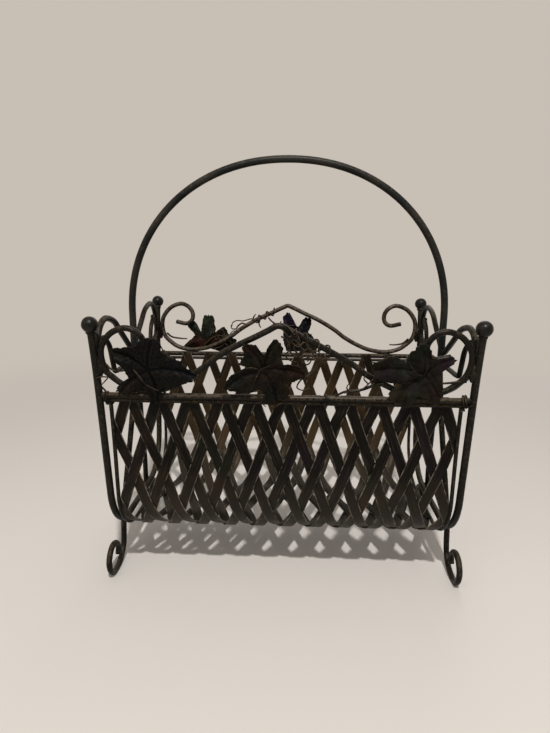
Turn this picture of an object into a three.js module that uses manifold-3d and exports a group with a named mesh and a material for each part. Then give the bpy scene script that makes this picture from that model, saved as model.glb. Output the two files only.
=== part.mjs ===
// Wrought metal magazine basket: two U-shaped end hoops with ball finials, a basket of woven
// metal strips hung between them, a tall arched handle, scrolled feet and leaf ornament.
// Millimetres, +Z up, +X to the right, the front of the basket faces -Y.
// The origin is on the floor, under the middle of the basket.
import * as THREE from "three";
import { mergeVertices } from "three/addons/utils/BufferGeometryUtils.js";
import Module from "manifold-3d";

const wasm = await Module();
wasm.setup();

// Driving sizes of the whole basket
const endSpacing = 400; // between the middles of the two end hoops
const ballSpread = 132; // from the middle of the basket to a finial's middle, across
const railSpread = 120; // from the middle of the basket to a long rail, across
const railHeight = 237.5; // of the long rails above the floor
const ballRise = 78.5; // of a finial's middle above the rails
const sideBaseSpread = 106.9; // where the sloping side meets the rounded bottom corner
const sideBaseHeight = 115.4;
const hoopBottomHeight = 60; // of the hoop's rod, in the middle of the basket
const handleHeight = 498.5; // of the top of the handle's middle line
const handleSpringHeight = 312; // where the handle's straight legs end
const gap = 0.3; // left between pieces that touch or are welded

// Rods
const hoopDiameter = 7;
const ballDiameter = 17;
const scrollDiameter = 6;
const railDiameter = 6;
const hemDiameter = 3.5;
const edgeRodDiameter = 4.5;
const handleDiameter = 8.7;
const vineDiameter = 2.2;

const hoopRadius = hoopDiameter / 2;
const ballRadius = ballDiameter / 2;
const scrollRadius = scrollDiameter / 2;
const railRadius = railDiameter / 2;
const hemRadius = hemDiameter / 2;
const edgeRodRadius = edgeRodDiameter / 2;
const vineRadius = vineDiameter / 2;
const halfSpacing = endSpacing / 2;

// Woven strips
const stripWidth = 13;
const stripThickness = 1;
const edgeRodInset = 10; // from a hoop's middle line to the basket's edge rod
const stripColumns = 11; // crossings along a rail
const stripRows = 11; // crossings from the front rail round to the back rail
const stripRise = 2; // how far the strips stand above the rail's middle line
const weaveOffset = (stripThickness + gap) / 2;
const weaveDepth = railRadius + gap + stripThickness / 2 + weaveOffset; // inside the rail's middle line
const weaveBulge = 9; // how far the weave swells out of that place round the bottom

// Colours taken from the photograph
function metalMaterial(color) {
  return new THREE.MeshStandardMaterial({ color, roughness: 0.5, metalness: 0.7 });
}
const ironMaterial = () => metalMaterial(0x3d3731);
const stripMaterial = () => metalMaterial(0x37312d);
const greenLeaf = () => metalMaterial(0x2f3b35);
const brownLeaf = () => metalMaterial(0x4a3c31);

const basket = new THREE.Group();

function addMesh(name, geometry, material) {
  const mesh = new THREE.Mesh(geometry, material);
  mesh.name = name;
  basket.add(mesh);
  return mesh;
}

// A round rod: a many-sided section swept along a curve
function rodGeometry(curve, diameter, steps, sides) {
  const corners = [];
  for (let i = 0; i < sides; i += 1) {
    const turn = (2 * Math.PI * (i + 0.5)) / sides;
    corners.push(new THREE.Vector2(Math.cos(turn), Math.sin(turn)).multiplyScalar(diameter / 2));
  }
  const section = new THREE.Shape(corners);
  return new THREE.ExtrudeGeometry(section, { steps, extrudePath: curve, bevelEnabled: false });
}

function smoothCurve(points) {
  return new THREE.CatmullRomCurve3(points, false, "centripetal");
}

// Points of a path in an end's plane, given as [spread, height] pairs
function endPoints(x, side, pairs) {
  return pairs.map(([spread, height]) => new THREE.Vector3(x, side * spread, height));
}

function toSolid(geometry) {
  const bare = geometry.clone();
  bare.deleteAttribute("normal");
  bare.deleteAttribute("uv");
  const merged = mergeVertices(bare);
  const vertProperties = new Float32Array(merged.attributes.position.array);
  const triVerts = new Uint32Array(merged.index.array);
  return new wasm.Manifold(new wasm.Mesh({ numProp: 3, vertProperties, triVerts }));
}

function toGeometry(solid) {
  const mesh = solid.getMesh();
  const geometry = new THREE.BufferGeometry();
  geometry.setAttribute("position", new THREE.BufferAttribute(new Float32Array(mesh.vertProperties), 3));
  geometry.setIndex(new THREE.BufferAttribute(new Uint32Array(mesh.triVerts), 1));
  geometry.computeVertexNormals();
  return geometry;
}

function boxSolid(low, high) {
  const size = high.clone().sub(low);
  const box = new THREE.BoxGeometry(size.x, size.y, size.z);
  box.translate((low.x + high.x) / 2, (low.y + high.y) / 2, (low.z + high.z) / 2);
  return toSolid(box);
}

// The U profile shared by the hoops, the edge rods and the woven strips.
// From a rail it slopes in, turns round a bottom corner and runs level to the middle.
const sideSlope = Math.atan2(railSpread - sideBaseSpread, railHeight - sideBaseHeight);
const cornerTurn = Math.PI / 2 - sideSlope;
const cornerRadius = (sideBaseHeight - hoopBottomHeight) / (1 - Math.cos(cornerTurn));
const sideLength = Math.hypot(railSpread - sideBaseSpread, railHeight - sideBaseHeight);
const cornerLength = cornerRadius * cornerTurn;
const levelLength = sideBaseSpread - cornerRadius * Math.sin(cornerTurn);
const halfLength = sideLength + cornerLength + levelLength;
const profileLength = 2 * halfLength;

// Place on the front half of the profile: spread from the middle, height, and outward direction
function halfProfile(along) {
  if (along < sideLength) {
    const share = along / sideLength;
    const spread = railSpread + share * (sideBaseSpread - railSpread);
    const height = railHeight + share * (sideBaseHeight - railHeight);
    return { spread, height, out: [Math.cos(sideSlope), -Math.sin(sideSlope)] };
  }
  if (along < sideLength + cornerLength) {
    const turn = cornerTurn - (along - sideLength) / cornerRadius;
    const spread = levelLength + cornerRadius * Math.sin(turn);
    const height = hoopBottomHeight + cornerRadius * (1 - Math.cos(turn));
    return { spread, height, out: [Math.sin(turn), -Math.cos(turn)] };
  }
  return { spread: halfLength - along, height: hoopBottomHeight, out: [0, -1] };
}

// Point at a distance along the whole profile, from the front rail round to the back rail
function profilePoint(x, along, offset) {
  const front = along <= halfLength;
  const place = halfProfile(front ? along : profileLength - along);
  const spread = place.spread + offset * place.out[0];
  return new THREE.Vector3(x, front ? -spread : spread, place.height + offset * place.out[1]);
}

// Depth of the weave inside the profile, which lessens from the rails down to the round corners
function weaveDepthAt(along) {
  const fromRail = Math.min(along, profileLength - along);
  const swollen = THREE.MathUtils.smoothstep(fromRail, stripWidth, sideLength + cornerLength / 2);
  return weaveDepth - weaveBulge * swollen;
}

// Upper part of a post, which flares out from the rail to the finial
const ballHeight = railHeight + ballRise;
const flareTop = new THREE.Vector2(ballSpread, ballHeight);
const flareFoot = new THREE.Vector2(railSpread, railHeight);
const flareStart = new THREE.Vector2(Math.tan(sideSlope), 1);
const flareBend = flareFoot.clone().addScaledVector(flareStart, ballRise / 2);
const flareDirection = flareTop.clone().sub(flareBend).normalize();

function postSpread(height) {
  const share = (height - railHeight) / ballRise;
  const bend = 2 * share * (1 - share) * flareBend.x;
  return (1 - share) ** 2 * flareFoot.x + bend + share ** 2 * flareTop.x;
}

// End hoops, one U-shaped rod at each end of the basket
const hoopSteps = 46;
const hoopLowerSteps = 48;
const roundSides = 8;
const thinSides = 6;
const seatRadius = 3; // of the flat on which a finial sits on its post
const seatDepth = Math.sqrt(ballRadius ** 2 - seatRadius ** 2);
const postTop = flareTop.clone().addScaledVector(flareDirection, -(seatDepth + gap));

function hoopCurve(x) {
  const path = new THREE.CurvePath();
  const place = (side, point) => new THREE.Vector3(x, side * point.x, point.y);
  const flare = (side) => [place(side, postTop), place(side, flareBend), place(side, flareFoot)];
  path.add(new THREE.QuadraticBezierCurve3(...flare(-1)));
  const lower = [];
  for (let i = 0; i <= hoopLowerSteps; i += 1) {
    lower.push(profilePoint(x, (profileLength * i) / hoopLowerSteps, 0));
  }
  path.add(smoothCurve(lower));
  path.add(new THREE.QuadraticBezierCurve3(...flare(1).reverse()));
  return path;
}

// Long rails, the thin hem rods under them and the edge rods round the ends of the weave
const railEnd = halfSpacing - hoopRadius - gap;
const edgeRodX = halfSpacing - edgeRodInset;
const hemDrop = 7.3; // from a rail's middle line down to its hem rod's
const hemInset = weaveDepth - weaveOffset - stripThickness / 2 - gap - hemRadius;
const edgeRodStart = hemDrop + hemRadius + gap;
const stripEdgeX = edgeRodX - edgeRodRadius - gap;
const edgeRodSteps = 36;

function straightRod(from, to, diameter, sides) {
  return rodGeometry(new THREE.LineCurve3(from, to), diameter, 1, sides);
}

const SIDES = [["front", -1], ["back", 1]];
const ENDS = [["left", -1], ["right", 1]];

for (const [name, side] of SIDES) {
  const railPlace = (x) => new THREE.Vector3(x, side * railSpread, railHeight);
  const rail = straightRod(railPlace(-railEnd), railPlace(railEnd), railDiameter, roundSides);
  addMesh(`${name}_rail`, rail, ironMaterial());
  const hemPlace = (x) => profilePoint(x, side < 0 ? hemDrop : profileLength - hemDrop, -hemInset);
  const hem = straightRod(hemPlace(-railEnd), hemPlace(railEnd), hemDiameter, roundSides);
  addMesh(`${name}_hem_rod`, hem, ironMaterial());
}

for (const [name, end] of ENDS) {
  const hoop = rodGeometry(hoopCurve(end * halfSpacing), hoopDiameter, hoopSteps, roundSides);
  addMesh(`end_hoop_${name}`, hoop, ironMaterial());
  const edge = [];
  const edgeSpan = profileLength - 2 * edgeRodStart;
  for (let i = 0; i <= edgeRodSteps; i += 1) {
    const along = edgeRodStart + (edgeSpan * i) / edgeRodSteps;
    edge.push(profilePoint(end * edgeRodX, along, -weaveDepthAt(along)));
  }
  const edgeRod = rodGeometry(smoothCurve(edge), edgeRodDiameter, edgeRodSteps, thinSides);
  addMesh(`edge_rod_${name}`, edgeRod, ironMaterial());
}

// Ball finials on the four post tops, each turned from one piece with a flat underneath
const ballBands = 8;
const ballColumns = 12;

function ballProfile() {
  const profile = [new THREE.Vector2(0, -seatDepth)];
  const lowest = Math.atan2(-seatDepth, seatRadius);
  for (let i = 0; i < ballBands; i += 1) {
    const turn = lowest + ((Math.PI / 2 - lowest) * i) / ballBands;
    profile.push(new THREE.Vector2(Math.cos(turn), Math.sin(turn)).multiplyScalar(ballRadius));
  }
  profile.push(new THREE.Vector2(0, ballRadius));
  return profile;
}

for (const [endName, end] of ENDS) {
  for (const [sideName, side] of SIDES) {
    const turned = new THREE.LatheGeometry(ballProfile(), ballColumns);
    const ball = addMesh(`ball_finial_${sideName}_${endName}`, turned, ironMaterial());
    ball.position.set(end * halfSpacing, side * ballSpread, ballHeight);
    const axis = new THREE.Vector3(0, side * flareDirection.x, flareDirection.y);
    ball.quaternion.setFromUnitVectors(new THREE.Vector3(0, 1, 0), axis);
  }
}

// Handle: an arch in the form of a superellipse on two straight legs
const handleInset = 2.5; // from a hoop's middle line in to the handle's leg
const handleSpan = endSpacing - 2 * handleInset;
const archPower = 2.1;
const archSteps = 40;
const handleSteps = 46;
const handleSides = 10;
const crossbarHeight = 252.5; // of the end crossbars that carry the handle
const handleFoot = crossbarHeight + scrollRadius + gap;

const archPoints = [];
archPoints.push(new THREE.Vector3(-handleSpan / 2, 0, handleFoot));
for (let i = 0; i <= archSteps; i += 1) {
  const turn = Math.PI * (1 - i / archSteps);
  const across = Math.sign(Math.cos(turn)) * Math.abs(Math.cos(turn)) ** (2 / archPower);
  const rise = Math.abs(Math.sin(turn)) ** (2 / archPower);
  const height = handleSpringHeight + rise * (handleHeight - handleSpringHeight);
  archPoints.push(new THREE.Vector3((across * handleSpan) / 2, 0, height));
}
archPoints.push(new THREE.Vector3(handleSpan / 2, 0, handleFoot));
const arch = rodGeometry(smoothCurve(archPoints), handleDiameter, handleSteps, handleSides);
addMesh("handle", arch, ironMaterial());

// Legs, two at each end. Each hangs from the middle of the crossbar, slopes down and out past
// the outside of the hoop's bottom and turns round on the floor in a scroll.
const legTopInset = 3.4; // from the hoop's middle line in to the leg's top, lengthwise
const legTopSpread = 3.3;
const legTopDrop = 4.2; // from the crossbar's middle line down to the leg's cut top
const passAllowance = 0.15; // added where the sloping leg passes the hoop's bottom
const footSplay = 1.05; // how much further out the foot stands than the leg at the hoop
const soleCut = 0.6; // filed off the rod where it stands on the floor
const curlWidth = 34; // of the foot scroll's middle line
const curlSpread = 90; // from the middle of the basket to the scroll's middle
const legSteps = 44;
const legTopX = halfSpacing - legTopInset;
const legPassX = halfSpacing + hoopRadius + gap + scrollRadius + passAllowance;
const footX = legPassX + footSplay;
// Shares of the rail's spread, of the drop from crossbar to hoop bottom and of the way out to the hoop
const legUpperShares = [[0.122, 0.2935, 0.19], [0.2125, 0.514, 0.435], [0.35, 0.808, 0.77], [0.409, 1, 1]];
// Shares of the rail's spread, of the hoop bottom's height and of the foot's splay
const legLowerShares = [[0.4275, 0.767, 0.45], [0.436, 0.533, 0.7], [0.458, 0.3, 1], [0.517, 0.158, 1]];
// Shares of the scroll's width, out from its middle and up from its lowest point
const curlShares = [[-0.53, 0.056], [-0.26, 0], [0, 0], [0.27, 0.12], [0.44, 0.355], [0.47, 0.665],
  [0.28, 0.96], [-0.03, 1.06], [-0.32, 0.93], [-0.47, 0.665], [-0.41, 0.42]];

function legUpperPlace([out, down, splay]) {
  const height = crossbarHeight - down * (crossbarHeight - hoopBottomHeight);
  return [legTopX + splay * (legPassX - legTopX), out * railSpread, height];
}

function legCurve(end, side) {
  const places = [[legTopX, legTopSpread, crossbarHeight - legTopDrop]];
  legUpperShares.forEach((shares) => places.push(legUpperPlace(shares)));
  legLowerShares.forEach(([out, up, splay]) => {
    places.push([legPassX + splay * footSplay, out * railSpread, up * hoopBottomHeight]);
  });
  const low = scrollRadius - soleCut;
  curlShares.forEach(([out, up]) => {
    places.push([footX, curlSpread + out * curlWidth, low + up * curlWidth]);
  });
  return smoothCurve(places.map(([x, spread, height]) => new THREE.Vector3(end * x, side * spread, height)));
}

// Hump scrolls, two at each end. Each starts beside the handle's leg, rises over a hump, comes
// down on the inner side of the post, turns back under the crossbar's bend and ends on a leg.
// Heights are shares of the hump's rise, up from the crossbar's middle line.
const humpSteps = 40;
const humpRise = 62.5; // of the hump's top above the crossbar
const humpFootReach = 2; // from the handle's side to the middle of the scroll's cut end
const armEndReach = 4.3; // from the leg's middle line to the middle of the arm's cut end
const humpFootShare = 0.248;
const postWeldShare = 0.296; // where the scroll is welded to the post
const armEndShare = -0.568; // of the leg's middle line where the arm ends on it
// Shares of the rail's spread and of the hump's rise
const humpShares = [[0.208, 0.472], [0.367, 0.696], [0.5, 0.888], [0.65, 0.984], [0.767, 1],
  [0.875, 0.904], [0.944, 0.711], [0.972, 0.482]];
const armShares = [[0.875, 0.166], [0.7, -0.018], [0.635, -0.086], [0.458, -0.274]];

function endPlace([out, up]) {
  return [out * railSpread, crossbarHeight + up * humpRise];
}

function humpCurve(end, side) {
  const weldHeight = crossbarHeight + postWeldShare * humpRise;
  const pairs = [[handleDiameter / 2 + humpFootReach, crossbarHeight + humpFootShare * humpRise]];
  humpShares.forEach((shares) => pairs.push(endPlace(shares)));
  pairs.push([postSpread(weldHeight) - hoopRadius - gap - scrollRadius, weldHeight]);
  armShares.forEach((shares) => pairs.push(endPlace(shares)));
  const legTop = new THREE.Vector2(legTopSpread, crossbarHeight - legTopDrop);
  const [, nextSpread, nextHeight] = legUpperPlace(legUpperShares[0]);
  const down = new THREE.Vector2(nextSpread, nextHeight).sub(legTop);
  const endHeight = crossbarHeight + armEndShare * humpRise;
  const ending = legTop.clone().addScaledVector(down, (endHeight - legTop.y) / down.y);
  const outward = new THREE.Vector2(-down.y, down.x).normalize();
  ending.addScaledVector(outward, armEndReach);
  pairs.push([ending.x, ending.y]);
  return smoothCurve(endPoints(end * halfSpacing, side, pairs));
}

// End crossbars, which carry the handle; both tips are turned up and cut off square
const crossbarInset = 1.5; // from the hoop's middle line in to the bar's
const crossbarX = halfSpacing - crossbarInset;
const crossbarSteps = 30;
// Shares of the rail's spread and of the hump's rise
const crossbarShares = [[0.3, 0], [0.56, 0], [0.607, 0.028], [0.637, 0.166], [0.708, 0.52], [0.808, 0.695]];

function crossbarCurve(end) {
  const half = crossbarShares.map(endPlace);
  const front = endPoints(end * crossbarX, -1, half).reverse();
  const middle = new THREE.Vector3(end * crossbarX, 0, crossbarHeight);
  return smoothCurve([...front, middle, ...endPoints(end * crossbarX, 1, half)]);
}

const floorReach = endSpacing;
const aboveFloor = boxSolid(
  new THREE.Vector3(-floorReach, -floorReach, 0),
  new THREE.Vector3(floorReach, floorReach, floorReach),
);

for (const [endName, end] of ENDS) {
  for (const [sideName, side] of SIDES) {
    const leg = toSolid(rodGeometry(legCurve(end, side), scrollDiameter, legSteps, roundSides));
    addMesh(`leg_${sideName}_${endName}`, toGeometry(leg.intersect(aboveFloor)), ironMaterial());
    const hump = rodGeometry(humpCurve(end, side), scrollDiameter, humpSteps, thinSides);
    addMesh(`hump_scroll_${sideName}_${endName}`, hump, ironMaterial());
  }
  const bar = rodGeometry(crossbarCurve(end), scrollDiameter, crossbarSteps, thinSides);
  addMesh(`crossbar_${endName}`, bar, ironMaterial());
}

// Crest scrolls above the rails, in the flared plane of the posts:
// two straight legs from a peak, each ending in a rounded C-shaped curl
const crestHeight = 72; // of the back crest's peak above the rail
const crestReach = halfSpacing - hoopRadius - gap - scrollRadius;
const crestSeat = railRadius + gap + scrollRadius;
const crestSeatShare = 0.776; // where the crest touches the rail, share of its reach
const crestSteps = 84;
const leanStep = 1; // over which the flared plane's slope is taken
// Shares of the crest's reach and of the back crest's height above the rail. The front crest's
// peak is higher and stands a little left of the middle.
const backPeakShares = [0, 1];
const backLegShares = [[0.031, 0.972], [0.13, 0.86], [0.248, 0.73], [0.373, 0.535], [0.445, 0.39],
  [0.554, 0.23], [0.647, 0.125]];
const frontPeakShares = [-0.03, 1.105];
const frontRightLegShares = [[0.031, 1.033], [0.13, 0.895], [0.248, 0.73], [0.373, 0.535], [0.445, 0.39],
  [0.554, 0.23], [0.647, 0.125]];
const frontLeftLegShares = [[0.083, 1.035], [0.148, 0.943], [0.23, 0.835], [0.314, 0.715], [0.373, 0.605],
  [0.445, 0.455], [0.554, 0.255], [0.647, 0.13]];
const crestCurlShares = [[0.87, 0.145], [0.921, 0.23], [0.976, 0.37], [1, 0.56], [0.998, 0.75], [0.953, 0.93],
  [0.915, 1.03], [0.844, 1.077], [0.776, 1.0], [0.742, 0.85], [0.75, 0.69], [0.79, 0.62], [0.885, 0.672]];

// Point in the flared plane above a rail, at a distance out from that plane
function crestPoint(side, x, above, out) {
  const height = railHeight + above;
  const lean = ((postSpread(height + leanStep) - postSpread(height)) / leanStep) * out;
  return new THREE.Vector3(x, side * (postSpread(height) + out), height - lean);
}

// One leg and curl of a crest, from the leg's top outward; hand is -1 to the left, 1 to the right
function crestHalf(side, hand, legShares) {
  const seatShare = [crestSeatShare, crestSeat / crestHeight];
  const shares = [...legShares, seatShare, ...crestCurlShares];
  return shares.map(([out, up]) => crestPoint(side, hand * out * crestReach, up * crestHeight, 0));
}

const CRESTS = [
  { name: "front", side: -1, peak: frontPeakShares, left: frontLeftLegShares, right: frontRightLegShares },
  { name: "back", side: 1, peak: backPeakShares, left: backLegShares, right: backLegShares },
];

for (const { name, side, peak, left, right } of CRESTS) {
  const [peakOut, peakUp] = peak;
  const peakPoint = crestPoint(side, peakOut * crestReach, peakUp * crestHeight, 0);
  const points = [...crestHalf(side, -1, left).reverse(), peakPoint, ...crestHalf(side, 1, right)];
  const crest = rodGeometry(smoothCurve(points), scrollDiameter, crestSteps, thinSides);
  addMesh(`crest_scroll_${name}`, crest, ironMaterial());
}

// Woven strips. Crossings lie on a regular grid of rows and columns over the profile.
// Each strip starts at the front hem rod, runs slantwise to the back hem rod and, where it
// meets an edge rod, turns back. Strips pass over and under each other in turn.
const columnPitch = (2 * stripEdgeX) / stripColumns;
const rowPitch = profileLength / stripRows;
const slantTan = columnPitch / 2 / rowPitch;
const slant = Math.atan(slantTan);
const widthAcross = stripWidth / Math.cos(slant); // a strip's width, measured along a rail
const crossingReach = stripWidth / 2 / Math.sin(slant); // half a crossing's length along the profile
const trimReach = 2 * profileLength;

// Distances along the profile where strips have their section lines
function stripLines() {
  const lines = [-stripRise];
  for (let row = 0; row <= stripRows; row += 1) {
    const middle = row * rowPitch;
    const fromRail = Math.min(middle, profileLength - middle);
    const beyondSide = fromRail > sideLength - crossingReach;
    const curved = beyondSide && fromRail < sideLength + cornerLength + crossingReach;
    const marks = curved ? [-crossingReach, 0, crossingReach] : [-crossingReach, crossingReach];
    marks.forEach((mark) => lines.push(middle + mark));
  }
  lines.push(profileLength + stripRise);
  return lines.filter((s) => s >= -stripRise && s <= profileLength + stripRise).sort((a, b) => a - b);
}

// A straight run of strip between two section lines, bent to the profile
function stripRun(lines, middleAt, offsetAt) {
  const spans = lines.length - 1;
  const box = new THREE.BoxGeometry(1, spans, 1, 1, spans, 1);
  const position = box.attributes.position;
  for (let i = 0; i < position.count; i += 1) {
    const line = lines[Math.round(position.getY(i) + spans / 2)];
    const x = middleAt(line) + position.getX(i) * widthAcross;
    const layer = offsetAt(line) - weaveDepthAt(line) - position.getZ(i) * stripThickness;
    const point = profilePoint(x, line, layer);
    position.setXYZ(i, point.x, point.y, point.z);
  }
  return toSolid(box);
}

const insideEdges = boxSolid(
  new THREE.Vector3(-stripEdgeX, -trimReach, -trimReach),
  new THREE.Vector3(stripEdgeX, trimReach, trimReach),
);

const allLines = stripLines();

// Layer of a run leaning one way: outside at odd rows if it leans right, at even rows if left
function layerAt(direction, turnRow, line) {
  const row = Math.round(line / rowPitch);
  if (row === turnRow) {
    return 0;
  }
  const outside = (row % 2 === 1) === (direction > 0);
  return outside ? weaveOffset : -weaveOffset;
}

function wovenStrip(column, direction) {
  const startX = column * columnPitch;
  const turnRow = Math.round((stripEdgeX - direction * startX) / (columnPitch / 2));
  const turns = turnRow < stripRows;
  const turnAlong = turnRow * rowPitch;
  const outward = (line) => startX + direction * line * slantTan;
  const back = (line) => direction * (2 * stripEdgeX) - outward(line);
  const firstLines = allLines.filter((line) => !turns || line <= turnAlong + crossingReach);
  let solid = stripRun(firstLines, outward, (line) => layerAt(direction, turnRow, line));
  if (turns) {
    const lastLines = allLines.filter((line) => line >= turnAlong - crossingReach);
    const returning = stripRun(lastLines, back, (line) => layerAt(-direction, turnRow, line));
    solid = solid.add(returning);
  }
  return toGeometry(solid.intersect(insideEdges));
}

const middleColumn = (stripColumns - 1) / 2;
for (const [name, direction] of [["right", 1], ["left", -1]]) {
  for (let i = 0; i < stripColumns; i += 1) {
    const geometry = wovenStrip(i - middleColumn, direction);
    addMesh(`strip_leaning_${name}_${i + 1}`, geometry, stripMaterial());
  }
}

// Leaves cut from sheet, each outline given round its hub, in shares of the leaf's size.
// A leaf stands just outside the flared plane of the crest and rail that carry it.
const leafSize = 50;
const leafThickness = 1.2;
const leafCurl = 1.2; // how far the tips stand away from the rods
const leafFold = 0.5; // height of the ridge round the hub
const leafSeat = scrollRadius + gap / 2 + leafThickness / 2;
const leafRingShares = [0, 0.5, 1];

const frontLeftShares = [[-0.43, -0.16], [-0.64, -0.33], [-0.69, -0.49], [-0.5, -0.55], [-0.24, -0.44],
  [-0.07, -0.41], [0.01, -0.66], [0.14, -0.77], [0.27, -0.64], [0.28, -0.39], [0.51, -0.38], [0.86, -0.23],
  [1.05, -0.07], [0.87, 0.07], [0.71, 0.24], [0.46, 0.32], [0.34, 0.45], [0.36, 0.64], [0.25, 0.72],
  [0.06, 0.75], [-0.11, 0.68], [-0.22, 0.54], [-0.5, 0.52], [-0.73, 0.46], [-0.64, 0.23], [-0.49, 0.02]];
const frontMiddleShares = [[-0.7, -0.14], [-0.84, -0.39], [-0.64, -0.45], [-0.31, -0.52], [-0.02, -0.46],
  [0.07, -0.73], [0.25, -0.74], [0.5, -0.58], [0.56, -0.43], [0.47, -0.28], [0.66, -0.22], [0.89, -0.06],
  [0.75, 0.11], [0.56, 0.16], [0.39, 0.18], [0.4, 0.51], [0.27, 0.7], [0.11, 0.53], [0.03, 0.35],
  [-0.06, 0.47], [-0.17, 0.59], [-0.4, 0.57], [-0.39, 0.32], [-0.51, 0.13], [-0.34, 0.08]];
const frontRightShares = [[-0.98, -0.07], [-0.73, -0.17], [-0.43, -0.22], [-0.68, -0.36], [-0.67, -0.55],
  [-0.46, -0.71], [-0.22, -0.72], [-0.07, -0.48], [0.15, -0.55], [0.38, -0.49], [0.38, -0.2], [0.34, 0.04],
  [0.55, 0.3], [0.52, 0.44], [0.3, 0.4], [0.12, 0.34], [0.05, 0.59], [-0.1, 0.7], [-0.27, 0.61],
  [-0.36, 0.46], [-0.41, 0.29], [-0.56, 0.37], [-0.79, 0.39], [-1.06, 0.28], [-1.07, 0.08]];
const backLeftShares = [[-0.7, -0.26], [-0.32, -0.33], [0.09, -0.25], [0.46, -0.34], [0.74, -0.28],
  [0.99, -0.09], [0.72, 0.16], [0.57, 0.38], [0.23, 0.53], [0.05, 0.77], [-0.17, 0.65], [-0.29, 0.5],
  [-0.57, 0.52], [-0.49, 0.31], [-0.43, 0.03]];
const backMiddleShares = [[-0.47, -0.05], [-0.34, -0.36], [0, -0.36], [0.34, -0.47], [0.52, -0.5],
  [0.58, -0.17], [0.43, 0.13], [0.27, 0.17], [0.29, 0.35], [0.35, 0.54], [0.16, 0.61], [-0.07, 0.43],
  [-0.2, 0.56], [-0.33, 0.75], [-0.5, 0.58], [-0.48, 0.26]];

// Hub places: distance to the right of the middle, height above the rail
const leafPlaces = {
  frontLeft: { hubX: -142.9, hubAbove: 31.1 },
  frontMiddle: { hubX: -21.4, hubAbove: 33.4 },
  frontRight: { hubX: 144.5, hubAbove: 30.8 },
  backLeft: { hubX: -126.6, hubAbove: 20.3 },
  backMiddle: { hubX: 17.1, hubAbove: 22.6 },
};
const { frontLeft, frontMiddle, frontRight, backLeft, backMiddle } = leafPlaces;
const leaves = [
  { name: "leaf_front_left", side: -1, place: frontLeft, shares: frontLeftShares, paint: greenLeaf },
  { name: "leaf_front_middle", side: -1, place: frontMiddle, shares: frontMiddleShares, paint: brownLeaf },
  { name: "leaf_front_right", side: -1, place: frontRight, shares: frontRightShares, paint: brownLeaf },
  { name: "leaf_back_left", side: 1, place: backLeft, shares: backLeftShares, paint: greenLeaf },
  { name: "leaf_back_middle", side: 1, place: backMiddle, shares: backMiddleShares, paint: greenLeaf },
];

function flipFaces(geometry) {
  const index = geometry.index;
  for (let i = 0; i < index.count; i += 3) {
    const kept = index.getX(i + 1);
    index.setX(i + 1, index.getX(i + 2));
    index.setX(i + 2, kept);
  }
}

// A turned disc with one column for each outline point, drawn out to the leaf's outline
function leafGeometry(leaf) {
  const lower = leafRingShares.map((share) => new THREE.Vector2(share, -1));
  const upper = [...leafRingShares].reverse().map((share) => new THREE.Vector2(share, 1));
  const profile = [...lower, ...upper];
  const disc = new THREE.LatheGeometry(profile, leaf.shares.length);
  const position = disc.attributes.position;
  for (let i = 0; i < position.count; i += 1) {
    const [across, up] = leaf.shares[Math.floor(i / profile.length) % leaf.shares.length];
    const corner = profile[i % profile.length];
    const reach = corner.x * Math.hypot(across, up);
    const fold = leafFold * 4 * corner.x * (1 - corner.x);
    const out = leafSeat + leafCurl * reach ** 2 + fold + (corner.y * leafThickness) / 2;
    const x = leaf.place.hubX + corner.x * across * leafSize;
    const above = leaf.place.hubAbove + corner.x * up * leafSize;
    const point = crestPoint(leaf.side, x, above, out);
    position.setXYZ(i, point.x, point.y, point.z);
  }
  if (leaf.side > 0) {
    flipFaces(disc);
  }
  disc.computeVertexNormals();
  return disc;
}

for (const leaf of leaves) {
  addMesh(leaf.name, leafGeometry(leaf), leaf.paint());
}

// Vines of thin wire: two wound round a leg of a crest, one round the front rail,
// and three short stems inside the crests' curls
const vineSides = 5;
const vineTurnSteps = 8;
const vinePitch = 13;
const vineWind = scrollRadius + 2 * gap + vineRadius;
const crestLegFrom = 0;
const crestLegTo = 2;

function crestLegPlace(legShares, lean, along) {
  const [from, to] = [legShares[crestLegFrom], legShares[crestLegTo]].map(
    ([out, up]) => new THREE.Vector2(out * crestReach, up * crestHeight),
  );
  const direction = to.clone().sub(from).normalize();
  const at = from.clone().addScaledVector(direction, along);
  return { x: lean * at.x, above: at.y, normal: new THREE.Vector2(-lean * direction.y, direction.x) };
}

function woundPoints(side, turns, placeAt) {
  const points = [];
  for (let i = 0; i <= turns * vineTurnSteps; i += 1) {
    const angle = (2 * Math.PI * i) / vineTurnSteps;
    const place = placeAt((vinePitch * i) / vineTurnSteps);
    const up = vineWind * Math.cos(angle);
    const out = vineWind * Math.sin(angle);
    points.push(crestPoint(side, place.x + place.normal.x * up, place.above + place.normal.y * up, out));
  }
  return points;
}

function loosePoints(side, shares) {
  return shares.map(([share, up, out]) => (
    crestPoint(side, share * crestReach, up * crestHeight, out * vineWind)
  ));
}

function addVine(name, points) {
  addMesh(name, rodGeometry(smoothCurve(points), vineDiameter, 2 * points.length, vineSides), ironMaterial());
}

const vineFrontStart = 4;
const vineFrontTurns = 3.5;
const vineBackStart = 14;
const vineBackTurns = 3;
const twigStart = 44; // to the right of the middle, along the front rail
const twigTurns = 1;
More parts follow.
